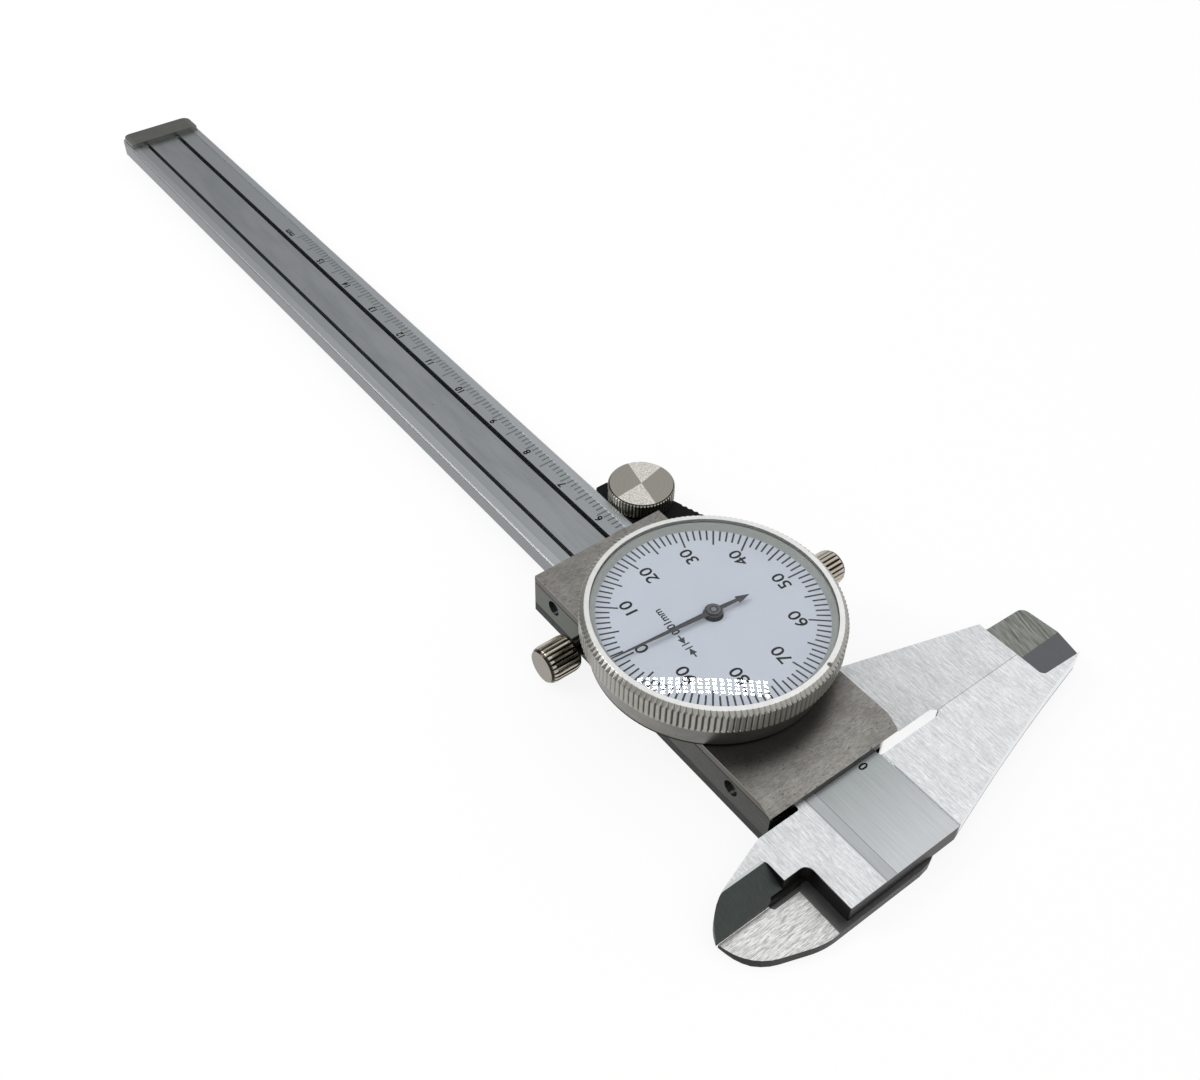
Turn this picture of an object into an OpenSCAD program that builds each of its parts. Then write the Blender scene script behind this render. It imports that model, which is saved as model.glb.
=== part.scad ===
// Dial caliper, 0 to 150 mm, jaws closed, lying on its back.
// X runs along the beam away from the jaws, Y towards the inside jaws, Z out of the dial.
// x = 0 is the face of the fixed outside jaw, y = 0 the middle of the beam,
// z = 0 the back of the slider, on which the caliper lies.

/* [Beam] */
// Width of the beam
beam_w = 16; // [14:0.5:18]
// Thickness of the beam and of the outside jaws
beam_t = 3.2; // [3:0.1:4]
// From the fixed jaw's face to the free end of the beam
beam_reach = 217.5; // [210:0.5:260]
// Travel of the slider
travel = 150; // [100:1:150]
// Chamfer along the beam's long edges
beam_chamfer = 0.25; // [0.1:0.05:0.4]
// Depth of the ground band that carries the scale
band_depth = 0.15; // [0.1:0.05:0.25]

/* [Head and jaws] */
// From the jaw face back to the head's end
head_back = 14.8; // [12:0.2:18]
// From the centreline to the floor of the notch beside the inside jaw
notch_y = 12.8; // [11:0.1:14]
// From the centreline to the tip of the outside jaws
jaw_reach = 46.6; // [42:0.2:55]
// Width of each outside jaw at its tip
jaw_tip_w = 6.7; // [5:0.1:8]
// From the tip back to the step of the thinned jaw end
thin_len = 10.2; // [8:0.1:14]
// Thickness left at the thinned jaw end
thin_t = 1.2; // [0.8:0.1:2]
// Measuring edge of the inside jaws, back from the jaw face
knife_x = 7.35; // [6.5:0.05:8]
// From the centreline to the tip of the inside jaws
inside_reach = 28.4; // [26:0.2:30]
// Width of the relief slot between the outside jaws
relief_w = 1.35; // [0.8:0.05:2]

/* [Slider] */
// Length of the slider's body
slider_len = 52.65; // [48:0.05:60]
// From the centreline to the side with the outside jaw
slider_low = 11.4; // [11:0.1:13]
// From the centreline to the side with the lock screw
slider_high = 12.8; // [12.4:0.1:15]
// Thickness of the back plate, which is also the moving inside jaw
plate_t = 1.7; // [1.4:0.1:2.4]
// Thickness of the frame over the beam's face
roof_t = 1.05; // [0.9:0.05:1.6]
// Thickness of the cover under the dial
cover_t = 1.4; // [1:0.1:2]
// Length of the bevel on the cover's front
bevel_len = 2.35; // [1:0.05:4]
// How far the back plate stands out behind the head
plate_over = 0.6; // [0.2:0.1:1.5]
// Thickness of the gib
gib_t = 1.2; // [0.8:0.1:1.4]

/* [Dial] */
// Middle of the dial, from the jaw face
dial_x = 26.75; // [25:0.05:28]
// Middle of the dial, from the centreline
dial_y = 0.6; // [0:0.1:1.2]
// Radius of the dial case
case_r = 17.6; // [17:0.1:18.5]
// Height of the dial case
case_h = 4.7; // [4.4:0.1:6]
// How far the bezel's knurl stands out past the case
bezel_over = 1.4; // [1.1:0.1:2.4]
// Height of the bezel above the case
bezel_h = 3.8; // [3.6:0.1:5]
// How far the bezel's bright rim is drawn in from the knurl
rim_inset = 0.75; // [0.3:0.05:1]
// Ribs of the knurl round the bezel
bezel_ribs = 144; // [60:2:160]
// Width of the sloped ring between the rim and the dial face
seat_w = 0.85; // [0.5:0.05:1.5]
// Angle of the hand at rest
hand_angle = 84.3; // [0:0.1:360]

/* [Movement] */
// Pitch of the rack
rack_pitch = 1; // [0.8:0.05:1.1]
// Leaves of the pinion in the rack
rack_leaves = 10; // [8:1:12]
// Teeth of the drive wheel
wheel_teeth = 100; // [60:10:100]
// Leaves of the centre pinion
centre_leaves = 10; // [8:1:12]
// Module of the drive wheel
wheel_module = 0.14; // [0.1:0.01:0.14]

/* [Thumb roller] */
// Radius of the thumb roller
roller_r = 5.5; // [4.5:0.1:6.5]
// Thickness of the thumb roller
roller_t = 3; // [2:0.1:4]
// Middle of the thumb roller, past the slider's end
roller_out = 7; // [6.5:0.1:10]
// Ribs of the knurl round the thumb roller
roller_ribs = 60; // [30:2:80]

/* [Screws] */
// Lock screw, back from the slider's end
lock_back = 12.3; // [10:0.1:16]
// Radius of the lock screw's head
lock_r = 2.95; // [2.6:0.05:3.1]
// Length of the lock screw's head
lock_len = 5.55; // [4:0.05:8]
// Radius of the bezel clamp screw's head
clamp_r = 2.75; // [2:0.05:2.8]
// Length of the bezel clamp screw's head
clamp_len = 6.45; // [3:0.05:7]

/* [Hidden] */
$fn = 64;

// Clearances
run_gap = 0.05;        // between faces that slide
turn_gap = 0.04;       // round a turning shaft
screw_gap = 0.05;      // round a screw
eps = 0.01;
far = 400;

// Levels
beam_z0 = plate_t + run_gap;
beam_z1 = beam_z0 + beam_t;
roof_z0 = beam_z1 + run_gap;
cover_z0 = roof_z0 + roof_t;
cover_z1 = cover_z0 + cover_t;
floor_t = 0.8;
floor_z1 = cover_z1 + floor_t;
case_z1 = cover_z1 + case_h;
rim_z = case_z1 + run_gap + bezel_h;
face_t = 0.45;
face_z1 = rim_z - 1.6;
crystal_z = rim_z - 0.65;
hand_t = 0.15;
hand_z = crystal_z - 0.15 - hand_t;

// Beam
half = beam_w / 2;
slider_x0 = 0.35;
slider_x1 = slider_x0 + slider_len;
roller_x = slider_x1 + roller_out;
slot_low = [-3.3, -2.4];
slot_high = [3.8, 4.54];
lip_t = 0.5 + band_depth;
cavity_h = 1.05;
cavity_z0 = beam_z1 - lip_t - cavity_h;
cavity_low = -half + 3.1;
groove_x0 = 9.9;
strip_t = lip_t - band_depth;
band_low = -half + 1.5;
band_high = half - 1.7;
band_line = half - 2.7;

// Rack and its pinion
rack_module = rack_pitch / PI;
pinion_y = (slot_low[0] + slot_low[1]) / 2;
pinion_r = rack_leaves * rack_module / 2;
centre_distance = (wheel_teeth + centre_leaves) * wheel_module / 2;
pinion_x = dial_x - sqrt(pow(centre_distance, 2) - pow(dial_y - pinion_y, 2));
mesh_angle = atan2(dial_y - pinion_y, dial_x - pinion_x);
pitch_line = pinion_y + pinion_r;
rack_back = slot_high[0] - run_gap;
rod_w = 3;
rod_y = -1.4;
rod_t = 0.9;
rack_screw_y = 2.2;
rack_screw_x = [for (k = [0 : 4]) 30 + k * (beam_reach - 40.5) / 4];
rod_screw_x = [slider_x1 - 5, slider_x1 - 2];

// Fasteners, as [shank radius, head radius, head height]
small_screw = [0.8, 1.45, 0.65];
tiny_screw = [0.7, 1.3, 0.6];

// End stop
end_stop_x = beam_reach - 2.8;
end_stop_y = [-half + 2.4, half - 2.4];
end_stop_len = 5;
end_stop_h = 0.9;

// Gib and lock screw
channel_high = half + run_gap + gib_t + 0.1;
gib_screw_x = [slider_x0 + 7.55, slider_x1 - 4.8];
gib_screw_z = beam_z1 - 0.55;
gib_screw_r = 1.2;
lock_x = slider_x1 - lock_back;
lock_z = beam_z0 + beam_t / 2;
lock_shank = 1.5;

// Movement
wheel_t = 0.3;
wheel_z = floor_z1 + 1.05;
bridge_z0 = floor_z1 + 2.75;
bridge_t = 0.8;
case_wall = 1.4;
case_in = case_r - case_wall;
skirt_r = case_in - 0.1;
skirt_in = skirt_r - 0.8;
snap_wire = 0.35;
snap_z = case_z1 - 0.95;
spot_r = skirt_in - 2.8;
pillar_spots = [for (a = [0, 90, 270]) [dial_x + spot_r * cos(a), dial_y + spot_r * sin(a)]];
case_spots = [for (a = [45 : 90 : 315]) [dial_x + spot_r * cos(a), dial_y + spot_r * sin(a)]];
bush_r = 1.1;
arbor_r = 0.5;
pinion_way_r = 1.3;
clamp_shank = 1;
clamp_z = cover_z1 + 1.65;
clamp_face = dial_y - case_r;
bezel_r = case_r + bezel_over;
rim_r = bezel_r - rim_inset;
rim_in = rim_r - 0.7;
dial_r = rim_in - 0.05;
seat_in = dial_r - seat_w;
dome = 0.5;
crystal_t = 0.6;

// Roller and thumb rest
roller_y = -half - 0.06 - roller_r;
roller_z1 = cover_z1 - 0.5;
roller_z0 = roller_z1 - roller_t;
rest_z1 = roller_z0 - 0.25;
rest_t = 1.3;
axle_r = 1;
rest_screw_x = [slider_x1 - 12, slider_x1 - 5];
rest_screw_z = 1.9;
rest_hole = slider_low - half - run_gap - 0.75;
rest_screw = [0.8, 1.4, 0.6];
flange_t = 1.2;

// Jaws
relief = relief_w / 2;
step_y = -jaw_reach + thin_len;
plate_back = head_back + plate_over;

// A unit vector
function unit(v) = v / norm(v);

// The arc of radius r that rounds the corner b between a and c
function corner(a, b, c, r, n = 6) = r == 0 ? [b] :
    let (u = unit(a - b), v = unit(c - b), h = acos(u * v) / 2,
         o = b + unit(u + v) * r / sin(h),
         p = b + u * r / tan(h) - o, q = b + v * r / tan(h) - o,
         a0 = atan2(p.y, p.x), turn = (atan2(q.y, q.x) - a0 + 540) % 360 - 180)
    [for (i = [0 : n]) o + r * [cos(a0 + turn * i / n), sin(a0 + turn * i / n)]];

// An outline from corners given as [x, y, radius]
function rounded(pts) = let (n = len(pts)) [for (i = [0 : n - 1])
    let (a = pts[(i + n - 1) % n], b = pts[i], c = pts[(i + 1) % n])
    each corner([a.x, a.y], [b.x, b.y], [c.x, c.y], b[2])];

// A point halfway along a chord, pushed out sideways by twice the bulge
function bowed(a, b, bulge) = let (d = unit(b - a)) (a + b) / 2 + 2 * bulge * [d.y, -d.x];

// A gear's outline with trapezoid teeth, thin enough to leave backlash
function gear(teeth, m, start = 0) = let (p = 360 / teeth, r = teeth * m / 2,
    foot = teeth < 20 ? 0.21 : 0.3, root = r - 1.25 * m, tip = r + 0.9 * m)
    [for (i = [0 : teeth - 1]) let (a = start + i * p)
        each [for (s = [[root, -foot], [r, -0.2], [tip, -0.09], [tip, 0.09], [r, 0.2], [root, foot]])
            s[0] * [cos(a + s[1] * p), sin(a + s[1] * p)]]];

// The rack's outline, its gaps centred on the pinion's place at rest
function rack_outline(x0, x1, teeth_x0, teeth_x1) = let (m = rack_module,
    root = pitch_line + 1.25 * m, tip = pitch_line - 0.9 * m,
    k0 = ceil((teeth_x0 - pinion_x) / rack_pitch), k1 = floor((teeth_x1 - pinion_x) / rack_pitch))
    [[x1, rack_back], [x0, rack_back], [x0, root], each [for (k = [k0 : k1])
        let (c = pinion_x + (k + 0.5) * rack_pitch)
        each [for (s = [[-0.36, root], [-0.1, tip], [0.1, tip], [0.36, root]])
            [c + s[0] * rack_pitch, s[1]]]], [x1, root]];

// Cuts the ribs of a straight knurl round a wheel of radius r
module knurl(r, ribs, depth, z0, z1) {
    for (i = [0 : ribs - 1]) rotate(i * 360 / ribs) translate([r, 0, z0])
        linear_extrude(z1 - z0) polygon([[-depth, 0], [depth, -depth * 1.6], [depth, depth * 1.6]]);
}

// A countersunk screw, its head's face at z = 0, pointing up
module countersunk(s, len) {
    rotate_extrude() polygon([[0, 0], [s[1], 0], [s[0], s[2]], [s[0], len], [0, len]]);
}

// The seat and hole of that screw
module countersunk_hole(s, len) {
    g = screw_gap;
    rotate_extrude() polygon([[0, -1], [s[1] + g, -1], [s[1] + g, 0], [s[0] + g, s[2]],
        [s[0] + g, len], [0, len]]);
}

// A cheese-head screw pointing down, the underside of its head at z = 0
module cheese(r, head_r, head_h, len) {
    difference() {
        union() {
            cylinder(r = head_r, h = head_h);
            translate([0, 0, -len]) cylinder(r = r, h = len + eps);
        }
        translate([-head_r - 1, -0.15, head_h - 0.3]) cube([2 * head_r + 2, 0.3, 1]);
    }
}

// Cuts a chamfer c wide along an edge that runs in X; up is 1 on a top edge and -1 below
module edge_cut(x0, x1, y, z, up, c) {
    side = sign(y);
    translate([x0, 0, 0]) rotate([90, 0, 90]) linear_extrude(x1 - x0) polygon([
        [y - side * (c + 1), z + up], [y + side, z - up * (c + 1)], [y + side, z + up]]);
}

// Beam, head and both fixed jaws in one flat outline
module beam_outline() {
    polygon(rounded([
        [beam_reach, -half, 1.5], [beam_reach, half, 1.5],
        [-slider_x0, half, 0.4], [-slider_x0, notch_y + 2.5, 3],
        [-4.2, inside_reach - 1.4, 7.2], [-knife_x, inside_reach, 0],
        [-knife_x, notch_y + 6.5, 0.3], [-knife_x + 0.5, notch_y + 6, 0.3],
        [-knife_x + 0.5, notch_y, 1.2], [-head_back, notch_y, 0.2],
        each jaw_side(-1),
        [0, -jaw_reach, 0], [0, -19.4, 0.3], [-relief, -18.6, 0.4],
        [-relief, -half + 0.9, 0.6], [1.2, -half + 0.9, 0.6], [1.9, -half, 0.2]]));
}

// The outer edge of an outside jaw: -1 for the fixed one, 1 for the moving one
function jaw_side(side) = side < 0 ?
    let (top = [-head_back, -7.1], tip = [-jaw_tip_w + 1.2, -jaw_reach + 3],
         mid = bowed(top, tip, -0.32))
    [[top.x, top.y, 1.5], [mid.x, mid.y, 400], [tip.x, tip.y, 0.8],
        [-jaw_tip_w + 2, -jaw_reach + 1.1, 0.8]] :
    [[jaw_tip_w - 0.2, -jaw_reach + 0.5, 1.4], [jaw_tip_w + 0.1, step_y - 2, 1],
        [jaw_tip_w + 0.6, step_y, 0.6], [14.5, -slider_low, 0]];

// The fixed inside jaw's bevel, deepest at its measuring edge
module inside_bevel() {
    x0 = -3;
    slope = 2.35 / (knife_x + x0);
    intersection() {
        translate([0, notch_y + 20, 0]) rotate([90, 0, 0]) linear_extrude(20)
            polygon([[x0, beam_z1], [x0, beam_z1 + 1], [-10, beam_z1 + 1],
                [-10, beam_z1 - slope * (10 + x0)]]);
        linear_extrude(20) polygon(rounded([[x0, notch_y + 4, 1], [x0, notch_y + 19, 0],
            [-10, notch_y + 19, 0], [-10, notch_y + 4, 0]]));
    }
}

// Space over the thinned ends of the outside jaws
module jaw_thinning() {
    rib_x = -jaw_tip_w + 1.85;
    translate([0, 0, beam_z0 + thin_t]) linear_extrude(beam_t) polygon(rounded([
        [rib_x, step_y, 0.9], [rib_x - 0.35, step_y - 7.4, 0], [rib_x - 0.35, -jaw_reach - 2, 0],
        [jaw_tip_w + 3, -jaw_reach - 2, 0], [jaw_tip_w + 3, step_y, 0]]));
}

module beam() {
    color("silver") difference() {
        union() {
            translate([0, 0, beam_z0]) linear_extrude(beam_t) beam_outline();
            // thin web under the relief at the root of the fixed inside jaw
            translate([-knife_x, notch_y - 0.5, beam_z0]) cube([1.5, 7.2, 0.5]);
        }
        inside_bevel();
        jaw_thinning();
        // the ground band, with its shallow step, on the beam and on the head
        for (b = [[1.2, band_low, band_line, band_depth], [1.2, band_line - eps, band_high, band_depth / 2]])
            translate([b[0], b[1], beam_z1 - b[3]]) cube([far, b[2] - b[1], 1]);
        for (b = [[-7.4, 4.5, band_depth], [4.5 - eps, 6.4, band_depth / 2]])
            translate([-head_back - 1, b[0], beam_z1 - b[2]]) cube([head_back + 2.2 + eps, b[1] - b[0], 1]);
        // the slot for the rack and the wider way for its pinion
        translate([groove_x0, slot_low[0], cavity_z0]) cube([far, slot_high[1] - slot_low[0], 5]);
        translate([groove_x0, cavity_low, cavity_z0]) cube([far, slot_low[0] - cavity_low + 1, cavity_h]);
        // the depth rod's groove in the back
        translate([slider_x0 + 12, rod_y - rod_w / 2 - 0.1, beam_z0 - 1])
            cube([far, rod_w + 0.2, rod_t + 1.1]);
        for (x = rack_screw_x) translate([x, rack_screw_y, beam_z0]) countersunk_hole(small_screw, 3);
        for (y = end_stop_y) translate([end_stop_x, y, beam_z0]) countersunk_hole(small_screw, 5);
        for (y = [-half, half]) {
            edge_cut(2.4, far, y, beam_z1, 1, beam_chamfer);
            edge_cut(2.4, far, y, beam_z0, -1, beam_chamfer);
        }
    }
}

module rack() {
    color("dimgray") difference() {
        translate([0, 0, cavity_z0]) linear_extrude(cavity_h)
            polygon(rack_outline(groove_x0 + 0.1, beam_reach - 4, pinion_x - 4, pinion_x + travel + 4));
        for (x = rack_screw_x) translate([x, rack_screw_y, cavity_z0 - 1])
            cylinder(r = small_screw[0] + screw_gap, h = 3);
    }
}

module cover_strip() {
    color("silver") difference() {
        translate([groove_x0 + 0.1, slot_low[1], cavity_z0 + cavity_h])
            cube([beam_reach - 4 - groove_x0 - 0.1, slot_high[0] - slot_low[1], strip_t]);
        for (x = rack_screw_x) translate([x, rack_screw_y, cavity_z0])
            cylinder(r = small_screw[0] + screw_gap, h = cavity_h + strip_t - 0.15);
    }
}

module rack_screws() {
    color("gray") for (x = rack_screw_x) translate([x, rack_screw_y, beam_z0 + eps])
        countersunk(small_screw, cavity_z0 + cavity_h + strip_t - 0.2 - beam_z0);
}

// Plate across the beam's free end, which keeps the slider on
module end_stop() {
    color("dimgray") difference() {
        union() {
            translate([0, 0, beam_z1]) linear_extrude(end_stop_h) polygon(rounded([
                [beam_reach - 0.3 - end_stop_len, -half + 0.4, 0], [beam_reach - 0.3, -half + 0.4, 1.5],
                [beam_reach - 0.3, half - 0.4, 1.5], [beam_reach - 0.3 - end_stop_len, half - 0.4, 0]]));
            translate([beam_reach - 0.3 - end_stop_len, band_low, beam_z1 - band_depth])
                cube([end_stop_len, band_line - band_low, band_depth + eps]);
        }
        for (y = end_stop_y) translate([end_stop_x, y, beam_z1 - 1])
            cylinder(r = small_screw[0] + screw_gap, h = 1 + end_stop_h - 0.2);
    }
}

module end_stop_screws() {
    color("gray") for (y = end_stop_y) translate([end_stop_x, y, beam_z0 + eps])
        countersunk(small_screw, beam_t + end_stop_h - 0.3);
}

// Back plate of the slider with the moving inside jaw
module plate_outline() {
    polygon(rounded([
        [slider_x1, -slider_low, 0.3], [slider_x1, slider_high, 0.3],
        [-knife_x + 0.7, slider_high, 0], [-knife_x, slider_high + 1, 0],
        [-knife_x, inside_reach - 0.4, 0], [-12.1, 26.6, 7.5], [-plate_back, 17.2, 12],
        [-plate_back, -6.8, 6.5], [slider_x0, -6.8, 0.5], [slider_x0, -slider_low, 0]]));
}

// The moving outside jaw
module moving_jaw() {
    difference() {
        translate([0, 0, beam_z0]) linear_extrude(beam_t) polygon(rounded([
            [0, -19.2, 0], [0, -jaw_reach, 0], each jaw_side(1),
            [14.5, -half - 1, 0], [relief, -half - 1, 0], [relief, -18.4, 0]]));
        jaw_thinning();
    }
}

module slider_frame() {
    color("gray") difference() {
        union() {
            linear_extrude(plate_t) plate_outline();
            translate([slider_x0, -slider_low, 0])
                cube([slider_len, slider_low + slider_high, cover_z0]);
            moving_jaw();
        }
        // the way for the beam and the gib
        translate([-1, -half - run_gap, plate_t])
            cube([far, half + run_gap + channel_high, roof_z0 - plate_t]);
        translate([-1, -half - 1, plate_t]) cube([slider_x0 + 1, 60, 10]);
        // shallow relief at the root of the moving inside jaw
        translate([0, 0, plate_t - 0.25]) linear_extrude(1) polygon(rounded([
            [-knife_x + 2, slider_high, 0], [-knife_x + 0.7, slider_high, 0],
            [-knife_x - 0.7, notch_y + 1.9, 0.6], [-knife_x - 0.7, notch_y + 6.2, 0.3],
            [-knife_x, notch_y + 6.7, 0], [-knife_x + 2, notch_y + 6.7, 0]]));
        // the ground face of the moving inside jaw and the bevel behind it
        translate([-40, notch_y + 1.85, plate_t - 0.1]) cube([33.5, 40, 1]);
        translate([0, notch_y + 20, 0]) rotate([90, 0, 0]) linear_extrude(13.2)
            polygon([[-11.4, 0], [-11.4, -1], [-6, -1], [-6, 1], [-knife_x, 0.9]]);
        // gib screws and lock screw
        for (x = gib_screw_x) translate([x, channel_high - 1, gib_screw_z]) rotate([-90, 0, 0])
            cylinder(r = gib_screw_r + screw_gap, h = 10);
        translate([lock_x, channel_high - 1, lock_z]) rotate([-90, 0, 0])
            cylinder(r = lock_shank + screw_gap, h = 10);
        // way through for the rack pinion's arbor
        translate([pinion_x, pinion_y, roof_z0 - 1]) cylinder(r = pinion_way_r, h = 5);
        for (p = case_spots) translate([p.x, p.y, roof_z0 + 0.2]) cylinder(r = 0.8 + screw_gap, h = 5);
        for (x = rod_screw_x) translate([x, rod_y, 0]) countersunk_hole(tiny_screw, 5);
        for (x = rest_screw_x) translate([x, -slider_low - eps, rest_screw_z]) rotate([-90, 0, 0])
            cylinder(r = rest_screw[0] + screw_gap, h = rest_hole);
    }
}

// Cover over the frame, which carries the dial case
module slider_cover() {
    color("gray") difference() {
        translate([0, slider_high, 0]) rotate([90, 0, 0]) linear_extrude(slider_low + slider_high)
            polygon([[slider_x0, cover_z0], [slider_x1, cover_z0], [slider_x1, cover_z1],
                [slider_x0 + bevel_len, cover_z1]]);
        for (y = [-slider_low, slider_high]) edge_cut(slider_x0 - 1, slider_x1 + 1, y, cover_z0, -1, 0.15);
        translate([pinion_x, pinion_y, cover_z0 - 1]) cylinder(r = pinion_way_r, h = 5);
        for (p = case_spots) translate([p.x, p.y, cover_z0 - 1]) cylinder(r = 0.8 + screw_gap, h = 5);
        translate([dial_x, dial_y, cover_z0 + 0.3]) cylinder(r = 1.2, h = 5);
    }
}

// Strip pressed on the beam's edge by the gib screws
module gib() {
    color("darkgray") translate([slider_x0 + 1, half + run_gap, beam_z0 + 0.1])
        cube([slider_len - 2, gib_t, beam_t - 0.1]);
}

module gib_screws() {
    y0 = half + run_gap + gib_t;
    color("dimgray") for (x = gib_screw_x) translate([x, y0, gib_screw_z]) rotate([-90, 0, 0])
        difference() {
            cylinder(r = gib_screw_r, h = slider_high - y0 - 0.7);
            translate([-2, -0.2, slider_high - y0 - 1.4]) cube([4, 0.4, 2]);
        }
}

// Depth rod, flush with the beam's end when the jaws are closed
module depth_rod() {
    x0 = slider_x1 - 7;
    color("silver") difference() {
        union() {
            translate([x0, rod_y - rod_w / 2, beam_z0 + 0.05]) cube([beam_reach - x0, rod_w, rod_t]);
            translate([x0, rod_y - rod_w / 2, plate_t]) cube([7, rod_w, 0.2]);
        }
        for (x = rod_screw_x) translate([x, rod_y, plate_t - 1])
            cylinder(r = tiny_screw[0] + screw_gap, h = 5);
        translate([beam_reach - 3, rod_y - rod_w, beam_z0 - 1]) rotate(-12) cube([6, rod_w / 2 + 0.6, 4]);
    }
}

module depth_rod_screws() {
    color("gray") for (x = rod_screw_x) translate([x, rod_y, eps])
        countersunk(tiny_screw, beam_z0 + 0.05 + rod_t - 0.1);
}

// Black thumb rest, which also carries the roller
module thumb_rest() {
    y0 = -slider_low;
    color("#1c1c1c") difference() {
        union() {
            translate([0, 0, rest_z1 - rest_t]) linear_extrude(rest_t) polygon(rounded([
                [slider_x1 - 18, y0, 0], [slider_x1 - 16, y0 - 6.4, 3], [slider_x1 - 5, y0 - 8.75, 6],
                [slider_x1 + 3.1, y0 - 6.1, 0.8], [roller_x + 3.6, y0 - 5, 2],
                [roller_x + 6.2, -slider_low + 0.2, 1], [roller_x + 6.2, -half - 0.9, 0.4],
                [slider_x1 + 0.1, -half - 0.9, 0.2], [slider_x1 + 0.1, y0, 0]]));
            translate([slider_x1 - 15, y0 - flange_t, 0.6]) cube([13, flange_t, rest_z1 - 0.6]);
        }
        // finger grooves along the outer edge
        for (i = [0 : 4]) translate([slider_x1 + 1.4 - i, y0 - 6.9 - i * 0.327, rest_z1 - rest_t - 1])
            cylinder(r = 0.42, h = rest_t + 2);
        translate([roller_x, roller_y, 0]) cylinder(r = axle_r + turn_gap, h = 10);
        for (x = rest_screw_x) translate([x, y0 - flange_t, rest_screw_z]) rotate([-90, 0, 0])
            countersunk_hole(rest_screw, 5);
    }
}

module thumb_rest_screws() {
    color("gray") for (x = rest_screw_x) translate([x, -slider_low - flange_t + eps, rest_screw_z])
        rotate([-90, 0, 0]) countersunk(rest_screw, flange_t + rest_hole - 0.2);
}

// Cup that holds the movement
module dial_case() {
    color("lightgray") difference() {
        translate([dial_x, dial_y, cover_z1]) cylinder(r = case_r, h = case_h, $fn = 128);
        translate([dial_x, dial_y, floor_z1]) cylinder(r = case_in, h = 20, $fn = 128);
        translate([dial_x, dial_y, snap_z]) rotate_extrude()
            translate([case_in, 0]) circle(r = snap_wire + 0.05);
        translate([pinion_x, pinion_y, cover_z1 - 1]) cylinder(r = bush_r, h = 5);
        translate([dial_x, dial_y, cover_z1 - 1]) cylinder(r = bush_r, h = 5);
        for (p = concat(case_spots, pillar_spots)) translate([p.x, p.y, cover_z1 - 1])
            cylinder(r = 0.8 + screw_gap, h = 5);
        translate([dial_x, clamp_face - 1, clamp_z]) rotate([-90, 0, 0])
            cylinder(r = clamp_shank + screw_gap, h = 4);
    }
}

module case_screws() {
    color("gray") for (p = case_spots) translate([p.x, p.y, floor_z1])
        cheese(0.8, 1.4, 0.7, floor_t + cover_t + roof_t - 0.3);
}

// Plate over the wheels
module movement_bridge() {
    color("goldenrod") difference() {
        translate([0, 0, bridge_z0]) linear_extrude(bridge_t) union() {
            for (p = pillar_spots) hull() {
                translate(p) circle(r = 2);
                translate([dial_x, dial_y]) circle(r = 3);
            }
            hull() {
                translate([pinion_x, pinion_y]) circle(r = 2.2);
                translate([dial_x, dial_y]) circle(r = 3);
            }
        }
        translate([dial_x, dial_y, bridge_z0 - 1]) cylinder(r = bush_r, h = 5);
        translate([pinion_x, pinion_y, bridge_z0 - 1]) cylinder(r = bush_r, h = 5);
        for (p = pillar_spots) translate([p.x, p.y, bridge_z0 - 1]) cylinder(r = 0.8 + screw_gap, h = 5);
    }
}

module bridge_pillars() {
    color("goldenrod") for (p = pillar_spots) translate([p.x, p.y, floor_z1]) difference() {
        union() {
            cylinder(r = 1.6, h = bridge_z0 - floor_z1);
            translate([0, 0, -floor_t + 0.05]) cylinder(r = 0.8, h = floor_t);
        }
        translate([0, 0, bridge_z0 - floor_z1 - 2]) cylinder(r = 0.8 + screw_gap, h = 3);
    }
}

module bridge_screws() {
    color("gray") for (p = pillar_spots) translate([p.x, p.y, bridge_z0 + bridge_t])
        cheese(0.8, 1.4, 0.6, bridge_t + 1.8);
}

// Bearing bushes of the two arbors
module arbor_bushes() {
    low = [[pinion_x, pinion_y, cover_z0 + 0.2, floor_z1 + 0.3],
        [dial_x, dial_y, cover_z1 - 0.6, floor_z1 + 0.3]];
    color("peru") {
        for (b = low) translate([b.x, b.y, b[2]]) difference() {
            cylinder(r = bush_r, h = b[3] - b[2]);
            translate([0, 0, -1]) cylinder(r = arbor_r + turn_gap, h = 5);
        }
        for (b = low) translate([b.x, b.y, bridge_z0 - 0.1]) difference() {
            cylinder(r = bush_r, h = bridge_t + 0.2);
            translate([0, 0, -1]) cylinder(r = arbor_r + turn_gap, h = 5);
        }
    }
}

// Open wire ring that keeps the bezel on the case
module bezel_snap_ring() {
    color("silver") translate([dial_x, dial_y, snap_z]) rotate(20) rotate_extrude(angle = 330)
        translate([case_in, 0]) circle(r = snap_wire);
}

// Brass shoe between the clamp screw and the bezel's skirt
module clamp_shoe() {
    color("goldenrod") intersection() {
        translate([dial_x, clamp_face + 0.4, clamp_z]) rotate([-90, 0, 0])
            cylinder(r = clamp_shank, h = 1.4);
        translate([dial_x, dial_y, clamp_z - 2]) difference() {
            cylinder(r = case_r, h = 4, $fn = 200);
            translate([0, 0, -1]) cylinder(r = skirt_r + 0.05, h = 6, $fn = 200);
        }
    }
}

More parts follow.
